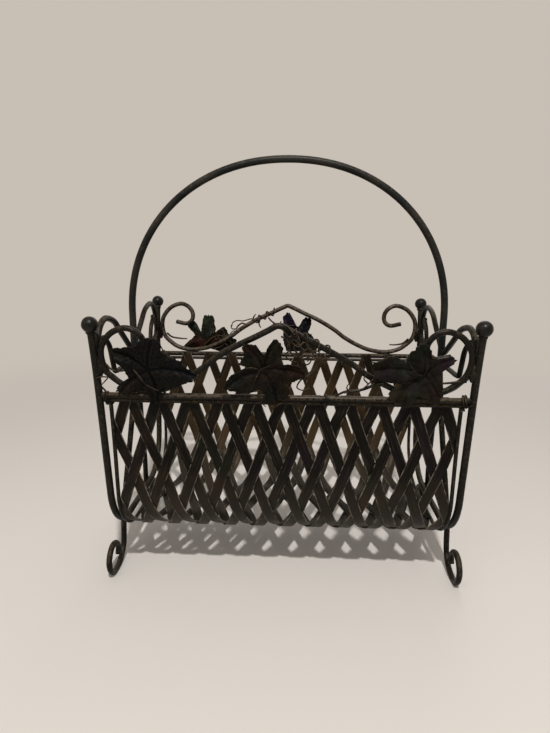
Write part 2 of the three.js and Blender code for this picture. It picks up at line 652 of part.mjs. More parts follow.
// Loose ends: shares of the crest's reach, of its height above the rail and of the winding's radius
const vineFrontShares = [[0.2, 0.6, 0.2], [0.16, 0.46, 0], [0.118, 0.34, 0.1], [0.125, 0.22, 0.3],
  [0.15, 0.13, 0.1]];
const vineBackShares = [[-0.36, 0.7, 0.6], [-0.4, 0.71, 0.9], [-0.44, 0.66, 1], [-0.445, 0.58, 1]];
const twigShares = [[0.335, 0.14, 0.7], [0.42, 0.17, 0.5], [0.49, 0.25, 0.9], [0.535, 0.26, 1.1]];
const stemFrontLeftShares = [[-0.974, 0.5, 0.2], [-0.945, 0.42, 0.4], [-0.9, 0.4, 0.5], [-0.85, 0.42, 0.5]];
const stemBackLeftShares = [[-0.96, 0.43, 0], [-0.92, 0.35, 0], [-0.86, 0.32, 0.2], [-0.8, 0.31, 0.4]];
const stemBackRightShares = [[0.946, 0.365, 0], [0.903, 0.27, 0], [0.85, 0.24, 0], [0.8, 0.24, 0]];

const frontWound = woundPoints(-1, vineFrontTurns, (along) => (
  crestLegPlace(frontRightLegShares, 1, vineFrontStart + along)
));
addVine("vine_front", [...frontWound, ...loosePoints(-1, vineFrontShares)]);
const backWound = woundPoints(1, vineBackTurns, (along) => (
  crestLegPlace(backLegShares, -1, vineBackStart + along)
));
addVine("vine_back", [...backWound, ...loosePoints(1, vineBackShares)]);
const railWound = woundPoints(-1, twigTurns, (along) => (
  { x: twigStart + along, above: 0, normal: new THREE.Vector2(0, 1) }
));
addVine("twig_front", [...railWound, ...loosePoints(-1, twigShares)]);
addVine("stem_front_left", loosePoints(-1, stemFrontLeftShares));
addVine("stem_back_left", loosePoints(1, stemBackLeftShares));
addVine("stem_back_right", loosePoints(1, stemBackRightShares));

export default basket;
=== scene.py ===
# %% [markdown]
# # A wrought-metal magazine basket
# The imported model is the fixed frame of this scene. Rods, strips, leaves and vines are made again
# here as smooth, worn metal on the same middle lines. Lengths are in millimetres, as on a drawing,
# and become metres when a mesh is made. +Z is up and the front of the basket faces -Y.

# %% load the frame
import math
import bpy
from mathutils import Matrix, Vector, noise


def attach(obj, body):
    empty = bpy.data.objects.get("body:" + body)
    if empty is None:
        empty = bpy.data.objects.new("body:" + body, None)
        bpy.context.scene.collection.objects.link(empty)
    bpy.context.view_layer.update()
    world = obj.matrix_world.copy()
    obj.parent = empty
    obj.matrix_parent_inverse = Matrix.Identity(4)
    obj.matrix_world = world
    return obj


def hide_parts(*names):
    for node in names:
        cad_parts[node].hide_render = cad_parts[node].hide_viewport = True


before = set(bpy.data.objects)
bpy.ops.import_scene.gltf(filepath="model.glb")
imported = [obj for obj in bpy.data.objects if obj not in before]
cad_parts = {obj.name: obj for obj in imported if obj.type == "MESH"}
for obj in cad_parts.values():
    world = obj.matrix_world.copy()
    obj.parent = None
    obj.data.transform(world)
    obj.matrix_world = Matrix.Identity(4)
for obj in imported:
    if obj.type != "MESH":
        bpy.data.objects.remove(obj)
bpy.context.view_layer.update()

# %% [markdown]
# ## Sizes
# The ends stand 400 mm apart. The trough is 240 mm wide at the rails and hangs between two hoops of
# 7 mm rod. Places could be typed in piece by piece. Here a few sizes drive them all: what touches a
# rod takes its place from that rod's radius and a small gap, so a changed size moves its neighbours.

# %% sizes
MM = 0.001
GAP = 0.3
END_X = 200.0  # from the middle to an end hoop
RAIL_Y, RAIL_Z = 120.0, 237.5
BASE_Y, BASE_Z = 106.9, 115.4  # where the sloping side meets the round corner
BOTTOM_Z = 60.0
BALL_Y, BALL_Z = 132.0, 316.0
BAR_Z = 252.5  # end crossbars
HOOP_R, ROD_R, HEM_R, EDGE_R, HANDLE_R, BALL_R, VINE_R = 3.5, 3.0, 1.75, 2.25, 4.35, 8.5, 1.1
COAT = 0.5  # paint, bronze and hammer marks make a rod this much thicker all round
SIDES = (("front", -1), ("back", 1))
ENDS = (("left", -1), ("right", 1))
print("hoops", 2 * END_X, "mm apart, rails", 2 * RAIL_Y, "mm apart")

# %% [markdown]
# ## The trough's profile
# The real trough is a cradle: a side slopes in, turns a round corner and runs level along the
# bottom. The line could be drawn as a curve object and read back. A function is simpler: it gives
# the point at a distance down that line, and hoops, edge rods and strips follow it at any offset.

# %% profile of the trough
SLOPE = math.atan2(RAIL_Y - BASE_Y, RAIL_Z - BASE_Z)
TURN = math.pi / 2 - SLOPE
CORNER = (BASE_Z - BOTTOM_Z) / (1 - math.cos(TURN))
SIDE = math.hypot(RAIL_Y - BASE_Y, RAIL_Z - BASE_Z)
LEVEL = BASE_Y - CORNER * math.sin(TURN)
HALF_LENGTH = SIDE + CORNER * TURN + LEVEL
LENGTH = 2 * HALF_LENGTH
SWELL, SWELL_FROM = 9.0, 13.0


def on_profile(x, down, offset=0.0):
    """A point at a distance down from the front rail, offset out of the trough."""
    front = down <= HALF_LENGTH
    d = down if front else LENGTH - down
    if d < SIDE:
        y, z = RAIL_Y + d / SIDE * (BASE_Y - RAIL_Y), RAIL_Z + d / SIDE * (BASE_Z - RAIL_Z)
        out, up = math.cos(SLOPE), -math.sin(SLOPE)
    elif d < SIDE + CORNER * TURN:
        a = TURN - (d - SIDE) / CORNER
        y, z = LEVEL + CORNER * math.sin(a), BOTTOM_Z + CORNER * (1 - math.cos(a))
        out, up = math.sin(a), -math.cos(a)
    else:
        y, z, out, up = HALF_LENGTH - d, BOTTOM_Z, 0.0, -1.0
    y += offset * out
    return Vector((x, -y if front else y, z + offset * up))


def bulge(down):
    """How far the weave swells out below the rails: full from the round corners on."""
    t = (min(down, LENGTH - down) - SWELL_FROM) / (SIDE + CORNER * TURN / 2 - SWELL_FROM)
    t = min(1.0, max(0.0, t))
    return SWELL * t * t * (3 - 2 * t)


print("profile length", round(LENGTH, 1), "corner radius", round(CORNER, 1))

# %% [markdown]
# ## The flared posts
# Above the rails each hoop bends outward to its ball, and the crests stand in that same flared
# plane. They could be drawn flat and tilted, but the plane is bent. So a crest, a leaf or a vine is
# placed by its height above the rail and its distance in front, and one function finds the point.

# %% flare
FOOT, TOP = Vector((RAIL_Y, RAIL_Z)), Vector((BALL_Y, BALL_Z))
RISE = BALL_Z - RAIL_Z
BEND = FOOT + Vector((math.tan(SLOPE), 1)) * (RISE / 2)
FLARE = (TOP - BEND).normalized()


def post_y(z):
    """How far from the middle a post stands at a height."""
    t = (z - RAIL_Z) / RISE
    return (1 - t) ** 2 * FOOT.x + 2 * t * (1 - t) * BEND.x + t * t * TOP.x


def crest_point(side, x, above, out=0.0):
    """A point in the posts' flared plane, at a height above the rail, or in front of that plane."""
    z = RAIL_Z + above
    return Vector((x, side * (post_y(z) + out), z - (post_y(z + 1) - post_y(z)) * out))


print("flare at the top", [round(v, 3) for v in FLARE])

# %% [markdown]
# ## Smooth lines
# A smith bends a rod to a fair curve by eye. A Bezier curve could copy it, with two handles to set at
# every point. A centripetal curve through a few points is as smooth without them and doesn't
# overshoot, and cutting it into even steps keeps the rod's skin regular.


# %% smooth lines
def smooth(points, per=12):
    """A fair curve through the points, with a number of steps between each two."""
    p = [Vector(q) for q in points]
    p = [p[0] * 2 - p[1]] + p + [p[-1] * 2 - p[-2]]
    line = []
    for i in range(1, len(p) - 2):
        a, b, c, d = p[i - 1:i + 3]
        bc = (c - b).length ** 0.5 or 1.0
        ab = (b - a).length ** 0.5 or bc
        cd = (d - c).length ** 0.5 or bc
        t1 = ((b - a) / ab - (c - a) / (ab + bc) + (c - b) / bc) * bc
        t2 = ((c - b) / bc - (d - b) / (bc + cd) + (d - c) / cd) * bc
        for k in range(per):
            t = k / per
            line.append(b + t1 * t + (-3 * b + 3 * c - 2 * t1 - t2) * t ** 2
                        + (2 * b - 2 * c + t1 + t2) * t ** 3)
    return line + [p[-2].copy()]


def even(line, step):
    """The same line, cut into steps of equal length."""
    total = [0.0]
    for a, b in zip(line, line[1:]):
        total.append(total[-1] + (b - a).length)
    count = max(2, round(total[-1] / step))
    out, i = [], 0
    for k in range(count + 1):
        d = total[-1] * k / count
        while i < len(line) - 2 and total[i + 1] < d:
            i += 1
        span = total[i + 1] - total[i] or 1.0
        out.append(line[i].lerp(line[i + 1], min(1.0, max(0.0, (d - total[i]) / span))))
    return out


print("a quarter bend in", len(even(smooth([(0, 0, 0), (7, 3, 0), (10, 10, 0)]), 1.0)), "steps")

# %% [markdown]
# ## From points to pieces
# `make` turns points and faces into an object, and `keep` notes its finish and ties it to the frame.
# A rod is a tube swept along its line. A curve object with a round bevel could do it too. Swept
# here, a rod can be a shade uneven, as hammered and painted iron is, with its cut ends rounded.

# %% pieces
pieces = {}


def make(name, verts, faces, flat=(), uvs=None):
    """An object from points in millimetres. The faces listed as flat keep a sharp edge."""
    mesh = bpy.data.meshes.new(name)
    mesh.from_pydata([tuple(v * MM) for v in verts], [], faces)
    for poly in mesh.polygons:
        poly.use_smooth = poly.index not in flat
    if uvs:
        layer = mesh.uv_layers.new(name="cut")
        for loop in mesh.loops:
            layer.data[loop.index].uv = uvs[loop.vertex_index]
    obj = bpy.data.objects.new(name, mesh)
    bpy.context.scene.collection.objects.link(obj)
    return obj


def keep(obj, finish, *nodes):
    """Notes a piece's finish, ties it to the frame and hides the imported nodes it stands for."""
    pieces[obj.name] = finish
    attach(obj, "root")
    if nodes:
        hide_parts(*nodes)
    return obj


print("pieces so far", len(pieces))

# %% rods
ROUND = 0.16  # a cut end is rounded by this share of the radius


def rod_skin(line, radius, sides=16, step=2.5, rough=0.012, seed=0.0, taper=0.0):
    """A tube swept along a line, with a slightly uneven skin. It can run thinner to its end."""
    line = even(line, step)
    last = len(line) - 1
    tangents = [(line[min(i + 1, last)] - line[max(i - 1, 0)]).normalized() for i in range(last + 1)]
    across = tangents[0].orthogonal().normalized()
    rings = [(0, 0.0, 1 - ROUND), (0, ROUND * radius, 1.0)] + [(i, 0.0, 1.0) for i in range(1, last)]
    rings += [(last, -ROUND * radius, 1.0), (last, 0.0, 1 - ROUND)]
    verts, faces = [], []
    for i, push, scale in rings:
        t = tangents[i]
        across = (across - t * across.dot(t)).normalized()
        other, centre = t.cross(across), line[i] + t * push
        r = radius * scale * (1 - taper * (i / last) ** 2)
        for k in range(sides):
            w = 2 * math.pi * k / sides
            d = across * math.cos(w) + other * math.sin(w)
            uneven = noise.noise(centre * 0.12 + d * 1.3 + Vector((seed, 0, 0)))
            verts.append(centre + d * r * (1 + rough * uneven))
    for i in range(len(rings) - 1):
        for k in range(sides):
            n = (k + 1) % sides
            faces.append((i * sides + k, i * sides + n, (i + 1) * sides + n, (i + 1) * sides + k))
    faces.append(tuple(range(sides))[::-1])
    faces.append(tuple(range((len(rings) - 1) * sides, len(rings) * sides)))
    return verts, faces


def rod(name, line, radius, **how):
    verts, faces = rod_skin(line, radius, **how)
    return make(name, verts, faces, flat=(len(faces) - 1, len(faces) - 2))


test_skin = rod_skin([Vector(), Vector((0, 0, 100))], ROD_R)
print("a 100 mm rod has", len(test_skin[0]), "points")

# %% [markdown]
# ## End hoops and edge rods
# Each hoop is one long rod: it flares from ball to rail, runs round the trough and up again. A
# thinner rod inside it holds the folded edge of the weave. Both could be joined from arcs and
# straight lengths. Following the profile instead keeps rods and weave on one line.

# %% end hoops and edge rods
SEAT_R = 3.0
BALL_SEAT = math.sqrt(BALL_R ** 2 - SEAT_R ** 2)
POST_TOP = TOP - FLARE * (BALL_SEAT + GAP)
STRIP_W, STRIP_T = 12.3, 1.0
WEAVE_IN = ROD_R + GAP + STRIP_T / 2 + (STRIP_T + GAP) / 2  # the woven surface, inside the profile
HEM_DOWN, EDGE_IN = 7.3, 10.0
STEPS = 160  # along the profile

for end_name, end in ENDS:
    flare = []
    for i in range(17):
        t = i / 16
        p = POST_TOP * (1 - t) ** 2 + BEND * 2 * t * (1 - t) + FOOT * t * t
        flare.append(Vector((end * END_X, -p.x, p.y)))
    round_trough = [on_profile(end * END_X, LENGTH * i / STEPS) for i in range(1, STEPS)]
    line = flare + round_trough + [Vector((v.x, -v.y, v.z)) for v in reversed(flare)]
    keep(rod("hoop_" + end_name, line, HOOP_R + COAT, sides=20, seed=end * 3), "rod", "end_hoop_" + end_name)
    start = HEM_DOWN + HEM_R + GAP
    downs = [start + (LENGTH - 2 * start) * i / STEPS for i in range(STEPS + 1)]
    line = [on_profile(end * (END_X - EDGE_IN), down, bulge(down) - WEAVE_IN) for down in downs]
    keep(rod("edge_" + end_name, line, EDGE_R, sides=14, seed=end * 5), "rod", "edge_rod_" + end_name)
print("hoops and edge rods", len(pieces))

# %% [markdown]
# ## Rails and hem rods
# The long rails are plain straight rods welded between the hoops, with a thin hem rod just below
# that holds the strips' cut ends. They could be plain cylinders. Swept like the other rods, they
# have the same slight waves, so a highlight doesn't run along them like a ruled line.

# %% rails and hem rods
RAIL_END = END_X - HOOP_R - GAP
HEM_IN = WEAVE_IN - (STRIP_T + GAP) / 2 - STRIP_T / 2 - GAP - HEM_R
for name, side in SIDES:
    line = [Vector((x, side * RAIL_Y, RAIL_Z)) for x in (-RAIL_END, 0, RAIL_END)]
    keep(rod("rail_" + name, line, ROD_R + COAT, sides=18, seed=side * 7), "rail", name + "_rail")
    down = HEM_DOWN - 1.1  # drawn up against the rail
    down = down if side < 0 else LENGTH - down
    line = [on_profile(x, down, -HEM_IN - COAT) for x in (-RAIL_END, 0, RAIL_END)]
    keep(rod("hem_" + name, line, HEM_R + COAT, sides=12, seed=side * 9), "rail", name + "_hem_rod")
print("rails", round(2 * RAIL_END, 1), "mm long")

# %% [markdown]
# ## Ball finials
# A turned iron ball closes each post. A ready-made sphere would sit on the post like a bead. Here
# the outline is lathed from the small flat seat on the post to the top and turned to the post's
# lean, and noise adds the trace of unevenness that turning and paint leave.


# %% ball finials
def ball(name, centre, axis, bands=18, sides=28):
    """A ball with a flat seat, leaning along the axis."""
    turn = Vector((0, 0, 1)).rotation_difference(axis).to_matrix()
    low = math.atan2(-BALL_SEAT, SEAT_R)
    angles = [low + (math.pi / 2 - low) * i / bands for i in range(bands)]
    verts = [centre - turn @ Vector((0, 0, BALL_SEAT)), centre + turn @ Vector((0, 0, BALL_R))]
    for a in angles:
        for k in range(sides):
            w = 2 * math.pi * k / sides
            p = BALL_R * Vector((math.cos(a) * math.cos(w), math.cos(a) * math.sin(w), math.sin(a)))
            verts.append(centre + turn @ (p * (1 + 0.012 * noise.noise(p * 0.35 + centre))))
    faces = []
    for k in range(sides):
        n = (k + 1) % sides
        faces += [(0, 2 + n, 2 + k), (1, 2 + (bands - 1) * sides + k, 2 + (bands - 1) * sides + n)]
        for i in range(bands - 1):
            a, b = 2 + i * sides, 2 + (i + 1) * sides
            faces.append((a + k, a + n, b + n, b + k))
    return make(name, verts, faces)


for end_name, end in ENDS:
    for name, side in SIDES:
        tag = name + "_" + end_name
        centre = Vector((end * END_X, side * BALL_Y, BALL_Z))
        keep(ball("ball_" + tag, centre, Vector((0, side * FLARE.x, FLARE.y))), "ball", "ball_finial_" + tag)
print("balls of", 2 * BALL_R, "mm")

# %% [markdown]
# ## Handle
# A tube bent to an arch on two straight legs that are welded to the end crossbars. Half an ellipse
# would be too lean at the shoulders. With a power a little above two, the same formula gives a
# slightly squarer arch, so one number sets how full it looks.

# %% handle
ARCH_Z, HANDLE_TOP, HANDLE_X, ARCH_POWER = 312.0, 498.5, 197.5, 2.1
foot_z = BAR_Z + ROD_R + GAP
line = [Vector((-HANDLE_X, 0, foot_z))]
for i in range(121):
    a = math.pi * (1 - i / 120)
    across = math.copysign(abs(math.cos(a)) ** (2 / ARCH_POWER), math.cos(a))
    up = abs(math.sin(a)) ** (2 / ARCH_POWER)
    line.append(Vector((across * HANDLE_X, 0, ARCH_Z + up * (HANDLE_TOP - ARCH_Z))))
line.append(Vector((HANDLE_X, 0, foot_z)))
keep(rod("handle_arch", line, HANDLE_R, sides=24, step=3.0, rough=0.01), "handle", "handle")
print("handle top", HANDLE_TOP)

# %% [markdown]
# ## Legs with scrolled feet
# A leg is one rod. It starts under the crossbar, slopes down and outward, passes outside the hoop's
# bottom and is rolled into a scroll that rests on the floor. A spiral formula gives a perfect
# scroll, which this isn't, so chosen points give its shape, as shares of the trough's sizes.

# %% legs
LEG_TOP = (END_X - 3.4, 3.3, BAR_Z - 4.2)
PASS_X = END_X + HOOP_R + GAP + ROD_R + 0.15
SPREAD = 1.05  # a foot stands this much further out than where the leg passes the hoop
UPPER = [(0.122, 0.2935, 0.19), (0.2125, 0.514, 0.435), (0.35, 0.808, 0.77), (0.409, 1, 1)]
LOWER = [(0.4275, 0.767, 0.45), (0.436, 0.533, 0.7), (0.458, 0.3, 1), (0.517, 0.158, 1)]
CURL = [(-0.53, 0.056), (-0.26, 0), (0, 0), (0.27, 0.12), (0.44, 0.355), (0.47, 0.665),
        (0.28, 0.96), (-0.03, 1.06), (-0.32, 0.93), (-0.47, 0.665), (-0.41, 0.42)]
CURL_Y, CURL_Z, CURL_SIZE = 90.0, 2.4, 34.0


def leg_upper(out, down, splay):
    """A place on the upper leg, between the crossbar and the hoop's bottom."""
    return LEG_TOP[0] + splay * (PASS_X - LEG_TOP[0]), out * RAIL_Y, BAR_Z - down * (BAR_Z - BOTTOM_Z)


def leg_places():
    places = [LEG_TOP] + [leg_upper(*row) for row in UPPER]
    places += [(PASS_X + splay * SPREAD, out * RAIL_Y, up * BOTTOM_Z) for out, up, splay in LOWER]
    return places + [(PASS_X + SPREAD, CURL_Y + out * CURL_SIZE, CURL_Z + up * CURL_SIZE) for out, up in CURL]


for end_name, end in ENDS:
    for name, side in SIDES:
        tag = name + "_" + end_name
        line = smooth([(end * x, side * y, z) for x, y, z in leg_places()])
        leg = keep(rod("foot_leg_" + tag, line, ROD_R + COAT, seed=end + 2 * side), "rod", "leg_" + tag)
        for v in leg.data.vertices:
            v.co.z = max(v.co.z, 0.0)
print("legs reach x", round(PASS_X + SPREAD, 1))

# %% [markdown]
# ## Hump scrolls and crossbars
# On each end two humps rise beside the handle and run down past the posts, and a wavy crossbar
# joins them and carries the handle. Each could have points of its own. The maker bent them all on
# one jig, so one half is drawn and mirrored, and small offsets make up for the hand's work.

# %% humps and crossbars
HUMP = 62.5  # rise of a hump above the crossbar
OFF = {"front_right": -4.5, "front_left": 1.5, "back_left": 1.5}  # bent by hand, so not all alike
HUMPS = [(0.208, 0.472), (0.367, 0.696), (0.5, 0.888), (0.65, 0.984), (0.767, 1),
         (0.875, 0.904), (0.944, 0.711), (0.972, 0.482)]
ARM = [(0.875, 0.166), (0.7, -0.018), (0.635, -0.086), (0.458, -0.274)]
BAR = [(0.3, 0), (0.56, 0), (0.607, 0.028), (0.637, 0.166), (0.708, 0.52), (0.808, 0.695)]
HANDLE_WELD_Z, POST_WELD_Z = BAR_Z + 0.248 * HUMP, BAR_Z + 0.296 * HUMP


def hump_places(off):
    """Where a hump runs. It rises a little more or less than the others."""
    places = [(HANDLE_R + 2.0, HANDLE_WELD_Z)]
    places += [(out * RAIL_Y, BAR_Z + up * (HUMP + off)) for out, up in HUMPS]
    places.append((post_y(POST_WELD_Z) - HOOP_R - GAP - ROD_R, POST_WELD_Z))
    places += [(out * RAIL_Y, BAR_Z + up * HUMP) for out, up in ARM]
    top, down = Vector(LEG_TOP[1:]), Vector(leg_upper(*UPPER[0])[1:])
    slope = down - top
    end = top + slope * ((BAR_Z - 0.568 * HUMP - top.y) / slope.y)
    end += Vector((-slope.y, slope.x)).normalized() * 4.3
    return places + [tuple(end)]


for end_name, end in ENDS:
    for name, side in SIDES:
        tag = name + "_" + end_name
        line = smooth([(end * END_X, side * y, z) for y, z in hump_places(OFF.get(tag, 0.0))])
        keep(rod("hump_" + tag, line, ROD_R + COAT, seed=3 * end + side), "rod", "hump_scroll_" + tag)
    half = [(out * RAIL_Y, BAR_Z + up * HUMP) for out, up in BAR]
    points = [(-y, z) for y, z in reversed(half)] + [(0, BAR_Z)] + half
    line = smooth([(end * (END_X - 1.5), y, z) for y, z in points])
    keep(rod("bar_" + end_name, line, ROD_R, seed=end * 11), "rod", "crossbar_" + end_name)
print("ends done,", len(pieces), "pieces")

# %% [markdown]
# ## Crests
# One rod over each rail: two straight legs from a peak, a dip that rests on the rail, and a
# C-shaped curl at each end. The front crest's peak is higher and a little left of the middle. Arcs
# and lines could be joined, but each joint would break the highlight, so one smooth line does it.

# %% crests
CREST_X, CREST = END_X - HOOP_R - GAP - ROD_R, 72.0
DIP = 0.776  # where a crest rests on its rail, as a share of CREST_X
BACK_LEG = [(0.031, 0.995), (0.13, 0.87), (0.248, 0.725), (0.373, 0.525), (0.445, 0.38), (0.554, 0.22),
            (0.647, 0.125)]
FRONT_RIGHT = [(0.031, 1.033), (0.13, 0.895), (0.248, 0.73), (0.373, 0.535), (0.445, 0.39), (0.554, 0.23),
               (0.647, 0.125)]
FRONT_LEFT = [(0.083, 1.035), (0.148, 0.943), (0.23, 0.835), (0.314, 0.715), (0.373, 0.605), (0.445, 0.455),
              (0.554, 0.255), (0.647, 0.13)]
CREST_CURL = [(0.87, 0.145), (0.921, 0.23), (0.974, 0.37), (0.996, 0.56), (0.99, 0.75), (0.95, 0.915),
              (0.908, 1.0), (0.842, 1.045), (0.784, 0.975), (0.754, 0.845), (0.76, 0.705), (0.798, 0.635),
              (0.885, 0.672)]


def crest_half(side, hand, leg):
    """One half of a crest: its straight leg, the dip on the rail and the curl."""
    shares = leg + [(DIP, (2 * ROD_R + GAP) / CREST)] + CREST_CURL
    return [crest_point(side, hand * out * CREST_X, up * CREST) for out, up in shares]


for name, side, peak, left, right in (("front", -1, (-0.03, 1.105), FRONT_LEFT, FRONT_RIGHT),
                                      ("back", 1, (0, 1.025), BACK_LEG, BACK_LEG)):
    points = crest_half(side, -1, left)[::-1] + [crest_point(side, peak[0] * CREST_X, peak[1] * CREST)]
    line = smooth(points + crest_half(side, 1, right))
    crest = rod("crest_" + name, line, ROD_R + COAT / 2, seed=side * 13)
    keep(crest, name + "_crest", "crest_scroll_" + name)
print("crests reach x", round(CREST_X, 1))

# %% [markdown]
# ## Weave
# Flat strips about 12 mm wide cross in two directions, eleven leaning each way. Each passes over
# one and under the next, and folds back where it meets an edge rod. A picture of a weave on a sheet
# would lose the gaps and the strips' edges. So each strip is swept along the profile, a wave lifts
# it over and under, and its section's two rims are rolled up a little, as sheared strip has.

# %% strip section
EDGE_X = END_X - EDGE_IN - EDGE_R - GAP
STRIPS = 11  # each way; a strip crosses as many rows from rail to rail
PITCH, ROW = 2 * EDGE_X / STRIPS, LENGTH / STRIPS
TAN = PITCH / 2 / ROW
STRIP_HALF = STRIP_W / math.cos(math.atan(TAN)) / 2
SECTION = [(-1.0, 0.0), (-0.97, 0.6), (-0.88, 0.7), (-0.76, 0.42), (0.0, 0.5), (0.76, 0.42), (0.88, 0.7),
           (0.97, 0.6), (1.0, 0.0), (0.96, -0.5), (0.0, -0.42), (-0.96, -0.5)]
print("strips lean", round(math.degrees(math.atan(TAN)), 1), "degrees")


# %% over and under
def over_under(lean, down):
    """How far a strip stands out of the woven surface: over at odd rows if it leans right."""
    row = round(down / ROW)
    lift = math.sin(math.pi / 2 * min(1.0, 1.35 * math.cos(math.pi * (down / ROW - row))))
    over = 1 if (row % 2 == 1) == (lean > 0) else -1
    return over * lift * (0.68 if min(down, LENGTH - down) < 16 else 0.95)


print("at the first row one strip is", round(over_under(1, ROW), 2), "mm out, its partner as far in")


# %% one run of a strip
UV_LENGTH = 100.0  # of strip, for one unit of its stored coordinate


def strip_run(start, lean, low, high, folded, seed):
    """One run of a strip, from one distance down the trough to another, before or after its fold."""
    verts, uvs, rings, n = [], [], 0, len(SECTION)
    count = max(2, round((high - low) / 3.2))
    for i in range(count + 1):
        s = low + (high - low) * i / count
        middle, slant = start + lean * s * TAN, lean
        if folded:
            middle, slant = lean * 2 * EDGE_X - middle, -lean
        if abs(middle) - STRIP_HALF > EDGE_X - 0.4:
            continue
        sway = 0.35 * noise.noise(Vector((seed * 7.1, s * 0.03, 0)))
        lift = over_under(slant, s) + bulge(s) - WEAVE_IN
        lift += 0.07 * noise.noise(Vector((seed * 3.3, s * 0.05, 5)))
        for u, v in SECTION:
            x = max(-EDGE_X, min(EDGE_X, middle + sway + u * STRIP_HALF))
            verts.append(on_profile(x, s, lift + v * STRIP_T))
            uvs.append((u * 0.5 + 0.5, s / UV_LENGTH + seed))
        rings += 1
    faces = []
    for i in range(rings - 1):
        for k in range(n):
            m = (k + 1) % n
            faces.append((i * n + k, i * n + m, (i + 1) * n + m, (i + 1) * n + k))
    return verts, faces + [tuple(range(n))[::-1], tuple(range((rings - 1) * n, rings * n))], uvs


print("a strip has", len(strip_run(0.0, 1, 0.0, LENGTH, False, 0)[0]) // len(SECTION), "sections")

# %% woven strips
FOLD, CUT = 19.5, 2.0  # a strip runs on this far past its fold, and past the rails
for lean_name, lean in (("right", 1), ("left", -1)):
    for i in range(STRIPS):
        start, seed = (i - STRIPS // 2) * PITCH, i + (20 if lean > 0 else 50)
        fold_row = round((EDGE_X - lean * start) / (PITCH / 2))
        folds = fold_row < STRIPS
        high = fold_row * ROW + FOLD if folds else LENGTH + CUT
        runs = [strip_run(start, lean, -CUT, high, False, seed)]
        if folds:
            runs.append(strip_run(start, lean, fold_row * ROW - FOLD, LENGTH + CUT, True, seed))
        verts, faces, uvs = [], [], []
        for v, f, w in runs:
            base = len(verts)
            verts += v
            uvs += w
            faces += [tuple(j + base for j in face) for face in f]
        strip = make("strip_%s_%02d" % (lean_name, i + 1), verts, faces, uvs=uvs)
        keep(strip, "strip", "strip_leaning_%s_%d" % (lean_name, i + 1))
print("strips", 2 * STRIPS, "pieces", len(pieces))

# %% [markdown]
# ## Leaves: outlines and colours
# Vine leaves cut from sheet. One leaf could be drawn and copied, but no two here are alike. Each row
# gives the side, the hub's place, the outline and the lobes' tips as shares of 50 mm, and the
# patina: colours at places on the leaf that run into each other. A curve rounds the outline.

